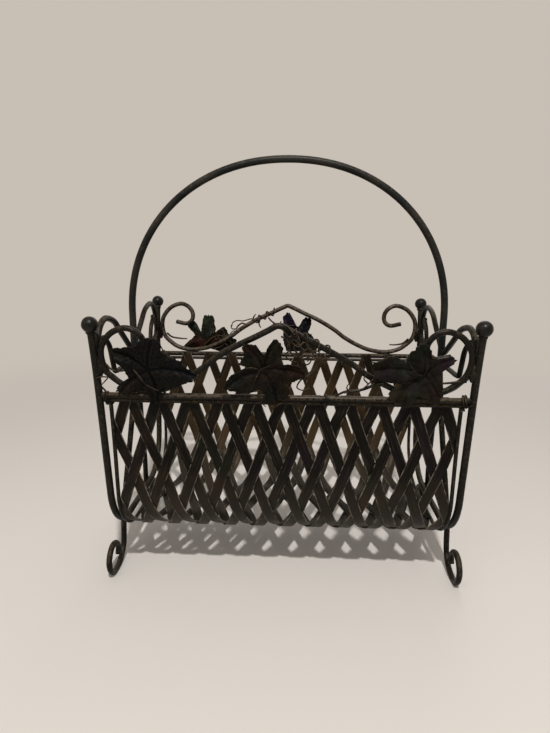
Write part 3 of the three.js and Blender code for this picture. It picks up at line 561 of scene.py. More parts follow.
# %% leaf outlines
LEAF = 50.0
LEAVES = {
    "front_left": (-1, -142.9, 31.1, [
        (-0.43, -0.16), (-0.64, -0.33), (-0.69, -0.49), (-0.5, -0.55), (-0.24, -0.44), (-0.07, -0.41),
        (0.01, -0.66), (0.14, -0.77), (0.27, -0.64), (0.28, -0.39), (0.51, -0.38), (0.86, -0.23),
        (1.05, -0.07), (0.87, 0.07), (0.71, 0.24), (0.46, 0.32), (0.34, 0.45), (0.36, 0.64), (0.25, 0.72),
        (0.06, 0.75), (-0.11, 0.68), (-0.22, 0.54), (-0.5, 0.52), (-0.73, 0.46), (-0.64, 0.23),
        (-0.49, 0.02)],
        [(-0.6, -0.46, 2.5), (0.16, -0.7, -1.0), (0.98, -0.07, 3.5), (0.16, 0.68, 4.0), (-0.66, 0.42, 0.5)],
        [(-0.55, 0.4, "181d14"), (-0.2, 0.1, "181819"), (0.1, 0.6, "16171b"), (0.3, 0.5, "1b1917"),
         (0.6, 0.0, "0b161f"), (0.9, -0.05, "0b111d"), (0.4, -0.3, "0e1816"), (-0.5, -0.45, "281d19"),
         (0.15, -0.6, "141511")]),
    "front_middle": (-1, -21.4, 33.4, [
        (-0.7, -0.14), (-0.84, -0.39), (-0.64, -0.45), (-0.31, -0.52), (-0.02, -0.46), (0.07, -0.73),
        (0.25, -0.74), (0.5, -0.58), (0.56, -0.43), (0.47, -0.28), (0.66, -0.22), (0.89, -0.06),
        (0.75, 0.11), (0.56, 0.16), (0.39, 0.18), (0.4, 0.51), (0.27, 0.7), (0.11, 0.53), (0.03, 0.35),
        (-0.06, 0.47), (-0.17, 0.59), (-0.4, 0.57), (-0.39, 0.32), (-0.51, 0.13), (-0.34, 0.08)],
        [(-0.76, -0.36, 2.0), (0.28, -0.68, -0.5), (0.82, -0.05, 3.0), (0.27, 0.64, 1.0), (-0.3, 0.53, 3.5)],
        [(-0.3, 0.5, "3a211b"), (-0.38, 0.3, "1d2a1c"), (-0.1, 0.15, "352b20"), (0.25, 0.5, "302c18"),
         (-0.6, -0.25, "191e17"), (-0.3, -0.3, "2d241e"), (0.1, 0.0, "3d2c22"), (0.7, 0.0, "3a1f15"),
         (0.3, -0.5, "211f20"), (0.5, -0.45, "352609"), (0.15, -0.7, "272a1c")]),
    "front_right": (-1, 144.5, 30.8, [
        (-0.98, -0.07), (-0.73, -0.17), (-0.43, -0.22), (-0.68, -0.36), (-0.67, -0.55), (-0.46, -0.71),
        (-0.22, -0.72), (-0.07, -0.48), (0.15, -0.55), (0.38, -0.49), (0.38, -0.2), (0.34, 0.04),
        (0.55, 0.3), (0.52, 0.44), (0.3, 0.4), (0.12, 0.34), (0.05, 0.59), (-0.1, 0.7), (-0.27, 0.61),
        (-0.36, 0.46), (-0.41, 0.29), (-0.56, 0.37), (-0.79, 0.39), (-1.06, 0.28), (-1.07, 0.08)],
        [(-1.0, 0.12, 2.5), (-0.52, -0.6, 0.5), (0.32, -0.45, 2.5), (0.5, 0.38, 4.5), (-0.12, 0.64, 3.0)],
        [(-0.9, 0.25, "40382c"), (-0.5, 0.25, "353b33"), (-0.8, 0.0, "3c2f36"), (-0.2, 0.5, "303828"),
         (0.0, 0.2, "3d3532"), (0.4, 0.35, "44333c"), (-0.2, -0.2, "373532"), (-0.5, -0.55, "4c442e"),
         (-0.2, -0.6, "3e4231"), (0.25, -0.4, "48362e")]),
    "back_left": (1, -126.6, 20.3, [
        (-0.7, -0.24), (-0.32, -0.33), (0.09, -0.25), (0.46, -0.34), (0.72, -0.28), (0.97, -0.06),
        (0.7, 0.2), (0.56, 0.42), (0.38, 0.3), (0.31, 0.24), (0.28, 0.5), (0.22, 0.73), (0.05, 0.79),
        (-0.09, 0.7), (-0.13, 0.42), (-0.17, 0.26), (-0.3, 0.52), (-0.46, 0.6), (-0.63, 0.55),
        (-0.53, 0.36), (-0.36, 0.16), (-0.52, -0.02)],
        [(-0.64, -0.24, 1.5), (0.9, -0.06, 2.5), (0.52, 0.36, 3.5), (0.06, 0.74, 3.0), (-0.52, 0.52, 4.0)],
        [(-0.5, 0.4, "374629"), (0.0, 0.6, "414c30"), (0.1, 0.2, "333d28"), (0.6, 0.3, "554d32"),
         (0.3, 0.0, "683e2e"), (-0.3, -0.1, "643428"), (0.8, -0.1, "4f482e"), (-0.6, -0.25, "433821")]),
    "back_middle": (1, 17.1, 22.6, [
        (-0.47, -0.05), (-0.34, -0.36), (0, -0.36), (0.34, -0.47), (0.52, -0.5), (0.58, -0.17),
        (0.43, 0.13), (0.29, 0.22), (0.36, 0.4), (0.38, 0.66), (0.17, 0.66), (-0.03, 0.4), (-0.17, 0.62),
        (-0.33, 0.84), (-0.5, 0.64), (-0.48, 0.26)],
        [(-0.4, -0.2, 1.0), (0.5, -0.42, 2.0), (0.5, -0.1, 2.5), (0.3, 0.62, 3.5), (-0.34, 0.76, 3.0)],
        [(-0.35, 0.6, "2e1d44"), (-0.3, 0.3, "37224a"), (0.25, 0.45, "161c30"), (0.1, 0.2, "1f2226"),
         (-0.2, -0.2, "28302a"), (0.4, -0.3, "2c3325"), (0.4, 0.0, "24292a")]),
}
print("leaves", len(LEAVES))

# %% [markdown]
# ## Leaves: surface
# A leaf was creased along its ribs with a blunt chisel and then bent by hand. It could be sculpted,
# five times over. A fan of rings from hub to rim needs only rules: a crease runs along each lobe, the
# sheet rises beside it, side veins branch off, the rim is toothed and wavy, and each lobe bends
# out by its own amount. Colour and rub marks are stored with the points, where the paint reads them.


# %% leaf helpers
def linear(code):
    """An sRGB hex colour as Blender's linear values."""
    rgb = [int(code[i:i + 2], 16) / 255 for i in (0, 2, 4)]
    return [c / 12.92 if c <= 0.04045 else ((c + 0.055) / 1.055) ** 2.4 for c in rgb] + [1.0]


def closed_curve(points, per):
    """A smooth outline through the points."""
    out, n = [], len(points)
    for i in range(n):
        a, b, c, d = (Vector(points[(i + k) % n]) for k in (-1, 0, 1, 2))
        for k in range(per):
            t = k / per
            out.append(0.5 * (2 * b + (c - a) * t + (2 * a - 5 * b + 4 * c - d) * t * t
                              + (3 * b - a - 3 * c + d) * t ** 3))
    return out


def to_segment(p, a, b):
    """The distance from a point to a short straight line."""
    ab = b - a
    t = max(0.0, min(1.0, (p - a).dot(ab) / (ab.dot(ab) or 1.0)))
    return (p - a - ab * t).length


def leaf_ribs(tips):
    """The lines of the ribs, one to each lobe, and of the side veins along them."""
    ribs, veins = [], []
    for x, y, _ in tips:
        tip = Vector((x, y)) * LEAF
        along = tip.normalized()
        across = Vector((-along.y, along.x))
        bow = 0.07 * tip.length * (1 if x > 0 else -1)
        line = [tip * k + across * bow * 4 * k * (1 - k) for k in (0, 0.25, 0.5, 0.75, 1)]
        ribs += list(zip(line, line[1:]))
        for k in (0.3, 0.46, 0.62, 0.76):
            root = tip * k + across * bow * 4 * k * (1 - k)
            for hand in (-1, 1):
                away = (along + across * hand * 1.1).normalized()
                veins.append((root, root + away * tip.length * 0.34 * (1.05 - k)))
    return ribs, veins


print("rib segments per leaf", len(leaf_ribs(LEAVES["front_left"][4])[0]))

# %% leaf relief
LEAF_SEAT = ROD_R + GAP / 2 + 0.6  # middle of the sheet in front of the flared plane
SHEET_T = 1.0
CREASE_W, VEIN_W = 1.1, 0.8
PILLOW_W, PILLOW_H = 5.5, 3.2  # the sheet rises this high beside a crease


def relief(p, r, share, near, near_vein, seed):
    """How deep the crease is at a point of the sheet, and how far out the sheet stands there."""
    d = p.length / LEAF
    crease = math.exp(-((near / CREASE_W) ** 2)) * (1 - 0.4 * share)
    vein = math.exp(-((near_vein / VEIN_W) ** 2))
    pillow = PILLOW_H * (1 - math.exp(-((near / PILLOW_W) ** 2))) * min(1.0, d * 3)
    pillow -= 1.6 * max(0.0, near - 7.0) / 7.0
    wave = 2.6 * noise.noise(Vector((r.x * 3.2, r.y * 3.2, seed + 4))) * share ** 3
    dents = 1.1 * noise.noise(Vector((p.x * 0.13, p.y * 0.13, seed))) * min(1.0, d * 2.5)
    return crease, LEAF_SEAT + 0.9 - 0.8 * crease - 0.45 * vein + pillow + wave + dents


def lobe_bend(p, tips):
    """How far a point is bent out with its lobe."""
    d, bend = p.length / LEAF, 0.0
    for x, y, lift in tips:
        toward = max(0.0, p.normalized().dot(Vector((x, y)).normalized())) if d > 0.02 else 0.0
        bend += lift * toward ** 6 * min(1.0, d / math.hypot(x, y)) ** 2
    return bend


print("a leaf's sheet lies", round(LEAF_SEAT, 2), "mm in front of the crests' plane")


# %% leaf colour
def patina_tint(at, patina):
    """The colour at a place on a leaf, where the patina's colours run into each other."""
    weights = [(0.004 + (at - Vector((x, y))).length_squared) ** -2 for x, y, _ in patina]
    total = sum(weights)
    return [sum(w * c[k] for w, (_, _, c) in zip(weights, patina)) / total for k in range(3)] + [1.0]


print("half black, half white:", [round(v, 2) for v in patina_tint(
    Vector((0, 0)), [(-1, 0, linear("000000")), (1, 0, linear("ffffff"))])])


# %% leaves
def leaf(name, rings=26, per=10):
    """Two faces of sheet and a rim between them, with the colours on their points."""
    side, hub_x, hub_above, outline, tips, patina = LEAVES[name]
    patina = [(x, y, linear(code)) for x, y, code in patina]
    rim = closed_curve(outline, per)
    ribs, veins = leaf_ribs(tips)
    seed = hub_x * 0.1
    inner, outer, tints, rubs = [], [], [], []
    for j in range(rings + 1):
        share = (j / rings) ** 0.85
        for i, r in enumerate(rim):
            ragged = noise.noise(Vector((i * 0.23, seed, 0))) + noise.noise(Vector((i * 0.61, seed, 7)))
            tooth = 1 + (0.04 * (((i / 5.0) % 1.0) - 0.5) + 0.05 * ragged) * share ** 6
            p = r * LEAF * share * tooth
            near = min(to_segment(p, a, b) for a, b in ribs)
            near_vein = min(to_segment(p, a, b) for a, b in veins)
            crease, out = relief(p, r, share, near, near_vein, seed)
            out += lobe_bend(p, tips)
            over_rail = LEAF_SEAT + COAT - max(0.0, abs(hub_above + p.y) - ROD_R)
            out = max(out, over_rail)  # a lobe lies on the rail, not in it
            for sheet, half in ((inner, -SHEET_T / 2), (outer, SHEET_T / 2)):
                sheet.append(crest_point(side, hub_x + p.x, hub_above + p.y, out + half))
            tints.append(patina_tint(p / LEAF, patina))
            beside = math.exp(-((near - 2.6) / 1.2) ** 2)
            rubs.append(max(0.45 * beside, 0.2 - crease, max(0.0, share - 0.95) * 12) - 0.8 * crease)
    n, top = len(rim), len(inner)
    faces = [(0, n + (i + 1) % n, n + i) for i in range(n)]
    faces += [(top, top + n + i, top + n + (i + 1) % n) for i in range(n)]
    for i in range(n):
        m = (i + 1) % n
        for j in range(1, rings):
            a, b, c, e = j * n + i, j * n + m, (j + 1) * n + m, (j + 1) * n + i
            faces += [(a, b, c, e), (top + a, top + e, top + c, top + b)]
        faces.append((rings * n + i, rings * n + m, top + rings * n + m, top + rings * n + i))
    if side < 0:
        faces = [tuple(reversed(f)) for f in faces]
    obj = make("sheet_leaf_" + name, inner + outer, faces)
    obj.data.attributes.new("patina", "FLOAT_COLOR", "POINT")
    obj.data.attributes.new("rub", "FLOAT", "POINT")
    for i, (tint, rub) in enumerate(zip(tints * 2, rubs * 2)):
        obj.data.attributes["patina"].data[i].color = tint
        obj.data.attributes["rub"].data[i].value = rub
    return obj


for name in LEAVES:
    keep(leaf(name), "leaf", "leaf_" + name)
print("leaves done,", len(pieces), "pieces")

# %% [markdown]
# ## Vines
# Thin wire is wound on the crests and the front rail, with loose ends and short stems in the curls.
# All of it could be drawn point by point. A helix round the rod does the wound part better, just
# clear of the rod's skin, and only the free end needs a few chosen points.


# %% vines
WIND = ROD_R + 2 * GAP + VINE_R


def leg_place(leg, hand, along):
    """A place along a crest's leg, and the direction square to it."""
    a, b = (Vector((leg[i][0] * CREST_X, leg[i][1] * CREST)) for i in (0, 2))
    d = (b - a).normalized()
    p = a + d * along
    return hand * p.x, p.y, Vector((-hand * d.y, d.x))


def wound(side, turns, place_at, pitch=13.0):
    """A helix of wire round a rod."""
    points = []
    for i in range(int(turns * 8) + 1):
        a = 2 * math.pi * i / 8
        x, above, normal = place_at(pitch * i / 8)
        up, out = WIND * math.cos(a), WIND * math.sin(a)
        points.append(crest_point(side, x + normal.x * up, above + normal.y * up, out))
    return points


def loose(side, rows):
    """Free wire through places given as shares of the crest's size."""
    return [crest_point(side, x * CREST_X, above * CREST, out * WIND) for x, above, out in rows]


def vine(name, points, finish="wire", radius=VINE_R):
    line = rod("wire_" + name, smooth(points), radius, sides=9, step=1.2, rough=0.14, taper=0.35)
    keep(line, finish, name)


vine("vine_front", wound(-1, 3.5, lambda d: leg_place(FRONT_RIGHT, 1, 4 + d)) + loose(-1, [
    (0.2, 0.6, 0.2), (0.16, 0.46, 0), (0.118, 0.34, 0.1), (0.125, 0.22, 0.3), (0.15, 0.13, 0.1)]))
vine("vine_back", wound(1, 3, lambda d: leg_place(BACK_LEG, -1, 14 + d)) + loose(1, [
    (-0.36, 0.7, 0.6), (-0.4, 0.71, 0.9), (-0.44, 0.66, 1), (-0.445, 0.58, 1)]))
vine("twig_front", wound(-1, 1, lambda d: (44 + d, 0.0, Vector((0, 1)))) + loose(-1, [
    (0.335, 0.14, 0.7), (0.42, 0.17, 0.5), (0.49, 0.25, 0.9), (0.535, 0.26, 1.1)]), "rod", 1.3)
vine("stem_front_left", loose(-1, [
    (-0.974, 0.5, 0.2), (-0.945, 0.42, 0.4), (-0.9, 0.4, 0.5), (-0.85, 0.42, 0.5)]))
vine("stem_back_left", loose(1, [
    (-0.96, 0.43, 0), (-0.92, 0.35, 0), (-0.86, 0.32, 0.2), (-0.8, 0.31, 0.4)]), radius=1.45)
vine("stem_back_right", loose(1, [
    (0.946, 0.365, 0), (0.903, 0.27, 0), (0.85, 0.24, 0), (0.8, 0.24, 0)]), radius=1.45)
print("vines done,", len(pieces), "pieces")

# %% [markdown]
# ## Tendrils
# Finer wires wander from the vines: a tangle under the front crest's peak, a thorny twig along the
# back crest, little hooks at the ends, and the thick free end of the front rail's twig. Random lines
# look like a scribble, for real wire goes from bend to bend, so a few points are chosen for each. A
# set has its side and the wire's radius, and a row is x, height above the rail and distance out.

# %% tendrils
TENDRILS = {
    "tangle_front": (-1, 1.0, [
        [(-1, 77, 5), (5, 70, 6), (12, 72, 3), (16, 64, 6), (10, 58, 5), (16, 52, 6), (26, 58, 5),
         (30, 50, 6), (24, 43, 4)],
        [(4, 79, 2), (9, 74, 6), (7, 66, 5), (14, 60, 7), (21, 64, 4), (27, 55, 6), (35, 54, 3), (38, 46, 5),
         (33, 38, 4)],
        [(-3, 70, 4), (3, 66, 5), (6, 58, 6), (2, 50, 6), (7, 44, 5), (14, 42, 4)],
        [(12, 66, 5), (18, 58, 7), (15, 50, 6), (21, 46, 5), (29, 50, 6), (36, 44, 5), (44, 42, 4)],
        [(37, 47, 3), (34, 38, 4), (28, 29, 4), (22, 26, 5), (17, 21, 3), (14, 14, 4), (20, 11, 4),
         (27, 13, 3)],
        [(20, 57, 4), (17, 46, 6), (24, 40, 5), (28, 46, 6), (22, 50, 7)],
        [(10, 66, 3), (4, 60, 6), (8, 52, 5), (15, 48, 6)]]),
    "twig_back": (1, 1.25, [
        [(-30, 56, 3), (-24, 50, 4), (-16, 46, 4), (-8, 47, 3), (2, 44, 2), (12, 45, 3)],
        [(-62, 44, 3), (-70, 47, 3), (-76, 43, 3), (-80, 38, 3), (-86, 39, 3), (-87, 44, 3)],
        [(-54, 50, 2), (-52, 57, 2), (-49, 61, 2)], [(-42, 55, 3), (-44, 46, 3), (-41, 40, 3)],
        [(-22, 48, 4), (-21, 42, 4)], [(-12, 46, 4), (-10, 51, 4)]]),
    "spray_back": (1, 1.0, [
        [(-128, 13, 1), (-117, 23, 2), (-106, 28, 2), (-95, 25, 2), (-86, 17, 1)],
        [(-121, 8, 1), (-108, 15, 2), (-97, 29, 2), (-101, 37, 1), (-109, 33, 1), (-105, 23, 2),
         (-92, 13, 1)],
        [(-114, 7, 1), (-101, 12, 2), (-90, 27, 1), (-84, 35, 1), (-78, 34, 1)]]),
    "spray_front": (-1, 0.85, [
        [(82, 13, 5), (88, 20, 6), (94, 28, 6), (98, 36, 6)], [(88, 20, 6), (83, 26, 6), (85, 31, 6)],
        [(94, 28, 6), (99, 29, 7), (103, 25, 7)], [(70, 9, 5), (66, 15, 5), (68, 20, 5)]]),
    "stalks_front": (-1, 0.85, [
        [(-157, 33, 8), (-153, 29, 10), (-149, 24, 11), (-145, 18, 11), (-139, 14, 11), (-131, 11, 12)],
        [(-25, 34, 7), (-27, 29, 9), (-30, 23, 10), (-32, 15, 10)],
        [(-25, 34, 7), (-20, 37, 9), (-13, 41, 10)], [(-25, 34, 7), (-32, 37, 9), (-40, 37, 10)],
        [(143, 30, 7), (137, 33, 10), (131, 39, 11), (126, 47, 12)],
        [(144, 31, 7), (145, 40, 10), (143, 52, 11)]]),
    "tie_middle": (-1, 0.85, [
        [(-26, 13, 5), (-27, 7, 6), (-24, 1, 5), (-22, -5, 5), (-19, -9, 3)],
        [(-30, 9, 5), (-26, 11, 7), (-23, 8, 5)], [(-2, -4, 3), (-8, -8, 4), (-12, -12, 3)]]),
    "hook_left": (-1, 0.85, [[(-199, 21, 4), (-193, 23, 5), (-187, 22, 4), (-191, 17, 4), (-196, 12, 3)]]),
    "stem_right": (-1, 1.5, [[(190, 22, 0), (180, 22, 2), (168, 21, 3), (156, 21, 4)]]),
    "bark_front": (-1, 1.9, [[(104, 19, 5), (95, 18, 4), (81, 12, 3), (63, 9, 4)]]),
}
DARK = ("stalks_front", "stem_right", "bark_front")  # painted like the rods


def together(name, skins):
    """Several rods or beads as one piece."""
    verts, faces = [], []
    for v, f in skins:
        base = len(verts)
        verts += v
        faces += [tuple(i + base for i in face) for face in f]
    return make(name, verts, faces)


for name, (side, radius, lines) in TENDRILS.items():
    skins = []
    for rows in lines:
        line = smooth([crest_point(side, *row) for row in rows])
        skins.append(rod_skin(line, radius, sides=8, step=1.2, rough=0.16, seed=len(rows), taper=0.45))
    keep(together("tendril_" + name, skins), "rod" if name in DARK else "wire")
print("tendrils", len(TENDRILS))

# %% [markdown]
# ## Ties and welds
# The maker tied rail, hem and edge rod together with soft wire at the four corners and welded the
# scrolls where they touch. Rods could simply be pushed into each other, which looks cut out with a
# knife. A short coil and an uneven bead hide the joint as the real ones do. The loops at the right
# end are wide, and those at the left end are small rings that hang open.


# %% ties
def coil(centre, axis, radius, turns, pitch, tail):
    """A hand-wound loop, not quite round, with a tail."""
    centre, axis = Vector(centre), Vector(axis).normalized()
    a = axis.orthogonal().normalized()
    b = axis.cross(a)
    points = []
    for i in range(int(turns * 10) + 1):
        w = 2 * math.pi * i / 10
        points.append(centre + axis * pitch * (i / 10 - turns / 2)
                      + (a * math.cos(w) + b * math.sin(w)) * radius * (1 + 0.06 * math.sin(3.1 * i)))
    return points + [points[-1] + Vector(v) for v in tail]


for end_name, end in ENDS:
    for name, side in SIDES:
        hem = on_profile(0, HEM_DOWN, -HEM_IN)
        corner = (end * (END_X - EDGE_IN), side * (-hem.y - 1), hem.z)
        rail_end = (end * (END_X - 8), side * (RAIL_Y + 0.5), RAIL_Z - 0.5)
        if end > 0:
            tail = [(-2, side * 3, -6), (-5, side * 4, -9)]
            lines = [coil(corner, (1, 0.2 * side, 0.3), 4.4, 2.25, 2.2, tail),
                     coil(rail_end, (1, 0.55 * side, 0.3), 6.4, 1.6, 2.6, [(3, side * 2, 3)])]
        else:
            lines = [coil(corner, (-0.35, side, 0.2), 3.4, 2.25, 3.0, [(3, side * 2, -3)]),
                     coil(rail_end, (-1, 0, 0.15), 4.7, 1.5, 2.4, [(-3, side * 2, 5), (-6, side * 3, 9)])]
        skins = [rod_skin(smooth(p, 6), 1.15, sides=8, step=1.2, rough=0.1, taper=0.2) for p in lines]
        keep(together("tie_%s_%s" % (name, end_name), skins), "rod")
print("ties", sum(name.startswith("tie_") for name in pieces))


# %% welds
def bead(centre, size, seed, rings=8, sides=12):
    """An uneven blob of weld."""
    verts, faces = [], []
    for i in range(rings + 1):
        p = math.pi * i / rings
        for k in range(sides):
            w = 2 * math.pi * k / sides
            d = Vector((math.sin(p) * math.cos(w), math.sin(p) * math.sin(w), math.cos(p)))
            r = 1 + 0.22 * noise.noise(d * 1.7 + Vector((seed, seed, 0)))
            verts.append(Vector(centre) + Vector(a * b for a, b in zip(d, size)) * r)
    for i in range(rings):
        for k in range(sides):
            n = (k + 1) % sides
            faces.append((i * sides + k, (i + 1) * sides + k, (i + 1) * sides + n, i * sides + n))
    return verts, faces


for end_name, end in ENDS:
    beads = [((end * (END_X - 2), 0, BAR_Z + 3), (5.2, 5.6, 2.6)),
             ((end * (END_X - 3), 0, BAR_Z - 2.5), (3.2, 5.0, 3.0))]
    for name, side in SIDES:
        post = post_y(POST_WELD_Z)
        curl = crest_point(side, end * (CREST_X + 2.2), 0.45 * CREST)
        seat = crest_point(side, end * DIP * CREST_X, ROD_R + 0.1)
        neck = Vector((end * END_X, side * POST_TOP.x, POST_TOP.y))
        beads += [
            (curl, (4.0, 3.6, 11.0)),  # crest's curl on post
            (seat, (6.5, 2.4, 1.5)),  # crest's dip on rail
            (neck, (5.0, 5.0, 4.4)),  # post under its ball
            # hump on post, rail on hoop, leg on hoop
            ((end * END_X, side * (post - 3.4), POST_WELD_Z - 2), (4.8, 4.6, 8.5)),
            ((end * (RAIL_END - 0.5), side * RAIL_Y, RAIL_Z), (2.6, 3.7, 3.7)),
            ((end * (END_X + 3.7), side * 50.5, BOTTOM_Z + 1), (1.8, 6.0, 2.6)),
            # crossbar on hump, hump on handle, hump's arm on leg
            ((end * (END_X - 0.5), side * 98, BAR_Z + 44), (3.2, 3.4, 3.2)),
            ((end * (END_X - 1), side * (HANDLE_R + 1.2), HANDLE_WELD_Z), (2.8, 2.6, 4.0)),
            ((end * (END_X - 1.3), side * 12.6, BAR_Z - 0.555 * HUMP), (2.6, 2.8, 4.2))]
    skins = [bead(centre, size, i * 3.7 + end) for i, (centre, size) in enumerate(beads)]
    keep(together("welds_" + end_name, skins), "rod")
print("weld beads", 2 * len(beads))

# %% [markdown]
# ## Materials as small graphs
# A Blender material is a graph: patterns go in, colour, roughness and bump come out. It can be wired
# by hand in the shader editor. Here one helper adds a node with its settings and links, so that a
# graph reads like a recipe, and a pattern's scale is worked out from a real size in millimetres.


# %% node helper
def node(tree, kind, inputs=(), **settings):
    """Adds a node with its settings, and fills or links its inputs."""
    n = tree.nodes.new(kind)
    for key, value in settings.items():
        setattr(n, key, value)
    for key, value in dict(inputs).items():
        if isinstance(value, bpy.types.NodeSocket):
            tree.links.new(value, n.inputs[key])
        else:
            n.inputs[key].default_value = value
    return n


def per_metre(millimetres):
    """A noise texture's scale for a pattern of this size."""
    return 1000.0 / millimetres


print("a 24 mm patch is noise of scale", round(per_metre(24), 1))

# %% [markdown]
# ## Painted iron
# The rods are mild steel, sprayed nearly black and then rubbed with bronze in patches. A painted
# highlight puts the pale colour on the faces that point front and back and on top, where lamplight
# from above and in front would fall, and leaves the edges of a rod dark. A painted texture could
# show this, but it needs unwrapping and blurs close up. Noise in object space needs neither, and the
# painted highlight follows the surface normal, so every bend of a rod gets its pale middle line.


# %% rubbed coat with painted highlight
BRUSH_GRAIN = 3.5  # finer than a millimetre in reality; drawn this coarse so that it shows


def rubbed_and_highlit_coat(tree, coat, tone, rubbed, rust, rub, face, patch):
    """The coat's colour and its grain: two tones in patches, rubbed wear with a painted highlight, brown
    spots.
    """
    place = node(tree, "ShaderNodeTexCoord").outputs["Object"]
    normal = node(tree, "ShaderNodeNewGeometry").outputs["Normal"]
    patches = node(tree, "ShaderNodeTexNoise", {"Vector": place, "Scale": per_metre(patch), "Detail": 3.0})
    patchy = node(tree, "ShaderNodeMapRange", {
        "Value": patches.outputs["Fac"], "From Min": 0.35, "From Max": 0.65})
    grain = node(tree, "ShaderNodeTexNoise", {
        "Vector": place, "Scale": per_metre(BRUSH_GRAIN), "Detail": 4.0, "Roughness": 0.6})
    # painted highlight: the faces that point front and back, and the top, take the pale colour as if lit from
    # above and in front; the sides and underneath stay dark
    front_back = node(tree, "ShaderNodeVectorMath", {0: normal}, operation="ABSOLUTE")
    facing = node(tree, "ShaderNodeVectorMath", {
        0: front_back.outputs[0], 1: (0.0, face, 0.0)}, operation="DOT_PRODUCT")
    painted_top_highlight = node(tree, "ShaderNodeVectorMath", {0: normal, 1: (0.0, 0.0, 0.15)}, operation="DOT_PRODUCT")
    wear_and_highlight = node(tree, "ShaderNodeMath", {
        0: facing.outputs["Value"], 1: painted_top_highlight.outputs["Value"]}, operation="ADD")
    # half the brush grain is real rubbing, and the painted highlight is added to it
    wear_and_highlight = node(tree, "ShaderNodeMath", {
        0: grain.outputs["Fac"], 1: 0.5, 2: wear_and_highlight.outputs[0]}, operation="MULTIPLY_ADD")
    wear_and_highlight = node(tree, "ShaderNodeMapRange", {
        "Value": wear_and_highlight.outputs[0], "From Min": rub - 0.04, "From Max": rub + 0.2})
    spots = node(tree, "ShaderNodeTexNoise", {"Vector": place, "Scale": per_metre(9.0), "Detail": 3.0})
    rusty = node(tree, "ShaderNodeMapRange", {
        "Value": spots.outputs["Fac"], "From Min": 0.58, "From Max": 0.72})
    colour = linear(coat)
    # a colour Mix takes its two colours at inputs 6 and 7 and gives the result at output 2
    for amount, over in ((patchy, tone), (wear_and_highlight, rubbed), (rusty, rust)):
        mixed = node(tree, "ShaderNodeMix", {
            "Factor": amount.outputs[0], 6: colour, 7: linear(over)}, data_type="RGBA")
        colour = mixed.outputs[2]
    return colour, grain.outputs["Fac"]


print("brush grain drawn at", BRUSH_GRAIN, "mm")

# %% painted iron
PAINT_PITS = 1.2  # also drawn coarser than they are


def painted_iron(name, coat, tone, rubbed, rust, rub=0.36, face=0.06, gloss=0.34, patch=24.0, shine=0.1):
    """A satin coat: roughness and a fine bump follow the grain."""
    mat = bpy.data.materials.new(name)
    mat.use_nodes = True
    tree = mat.node_tree
    shader = tree.nodes["Principled BSDF"]
    colour, grain = rubbed_and_highlit_coat(tree, coat, tone, rubbed, rust, rub, face, patch)
    tree.links.new(colour, shader.inputs["Base Color"])
    rough = node(tree, "ShaderNodeMapRange", {
        "Value": grain, "From Min": 0.3, "From Max": 0.7, "To Min": gloss - 0.06, "To Max": gloss + 0.14})
    tree.links.new(rough.outputs[0], shader.inputs["Roughness"])
    place = node(tree, "ShaderNodeTexCoord").outputs["Object"]
    pits = node(tree, "ShaderNodeTexNoise", {"Vector": place, "Scale": per_metre(PAINT_PITS), "Detail": 2.0})
    height = node(tree, "ShaderNodeMath", {0: grain, 1: pits.outputs["Fac"]}, operation="ADD")
    bump = node(tree, "ShaderNodeBump", {
        "Height": height.outputs[0], "Strength": 0.3, "Distance": 0.4 * MM})
    tree.links.new(bump.outputs["Normal"], shader.inputs["Normal"])
    # waxed, rubbed paint mirrors the pale room far less than the usual 0.5
    shader.inputs["Specular IOR Level"].default_value = shine
    return mat, colour


finishes = {}
print("paint pits drawn at", PAINT_PITS, "mm")

# %% iron finishes
# Satin paint on bent rod: nearly black, with a faint brown line down the face of each rod, a painted
# highlight.
finishes["rod"] = painted_iron("satin_painted_iron_rod", "0f0e0b", "1d1914", "4e4535", "251b12",
                               face=0.08)[0]
# The rails are handled most: rubbed bronze in patches, and a bronze line along the top, near black
# underneath, that is painted highlight.
finishes["rail"] = painted_iron("iron_rail_rubbed_and_highlit", "0a0705", "17110b", "5c4f3b", "1f140c",
                                rub=0.35, face=0.08, shine=0.14)[0]
# The front crest carries a painted highlight along its face, so it reads as a brown bar with dark edges.
finishes["front_crest"] = painted_iron("iron_front_crest_rubbed_and_highlit", "0b0a08", "17140e", "4a3f30", "1d150e",
                                       rub=0.39, face=0.08, shine=0.12)[0]
# The back crest is palest: a painted highlight gives a bronze band with dark edges, patchy where it was
# missed.
finishes["back_crest"] = painted_iron("bronze_back_crest_rubbed_and_highlit", "0d0b08", "1e1912", "675b4a", "2a1c12",
                                      rub=0.38, face=0.15, gloss=0.3, patch=60.0, shine=0.16)[0]
# The handle is a smooth tube with a cold blue-green cast where the paint is thick, and a painted highlight on
# top.
finishes["handle"] = painted_iron("satin_painted_iron_tube", "080b0b", "2a2620", "4c473a", "091416",
                                  rub=0.38, gloss=0.42, patch=60.0, shine=0.16)[0]
# The balls are turned, so their paint is smoother and shows a small soft highlight; their paler top is
# painted highlight.
finishes["ball"] = painted_iron("smooth_painted_iron_ball", "0c0c0a", "171512", "3a352c", "1f1812",
                                rub=0.4, gloss=0.3, shine=0.16)[0]
# Soft wire takes the wax all over and looks browner than the rods, paler on top with painted highlight.
finishes["wire"] = painted_iron("waxed_annealed_wire", "110e0a", "251c13", "4b3e2d", "35220f",
                                rub=0.3)[0]
print("iron finishes", len(finishes))
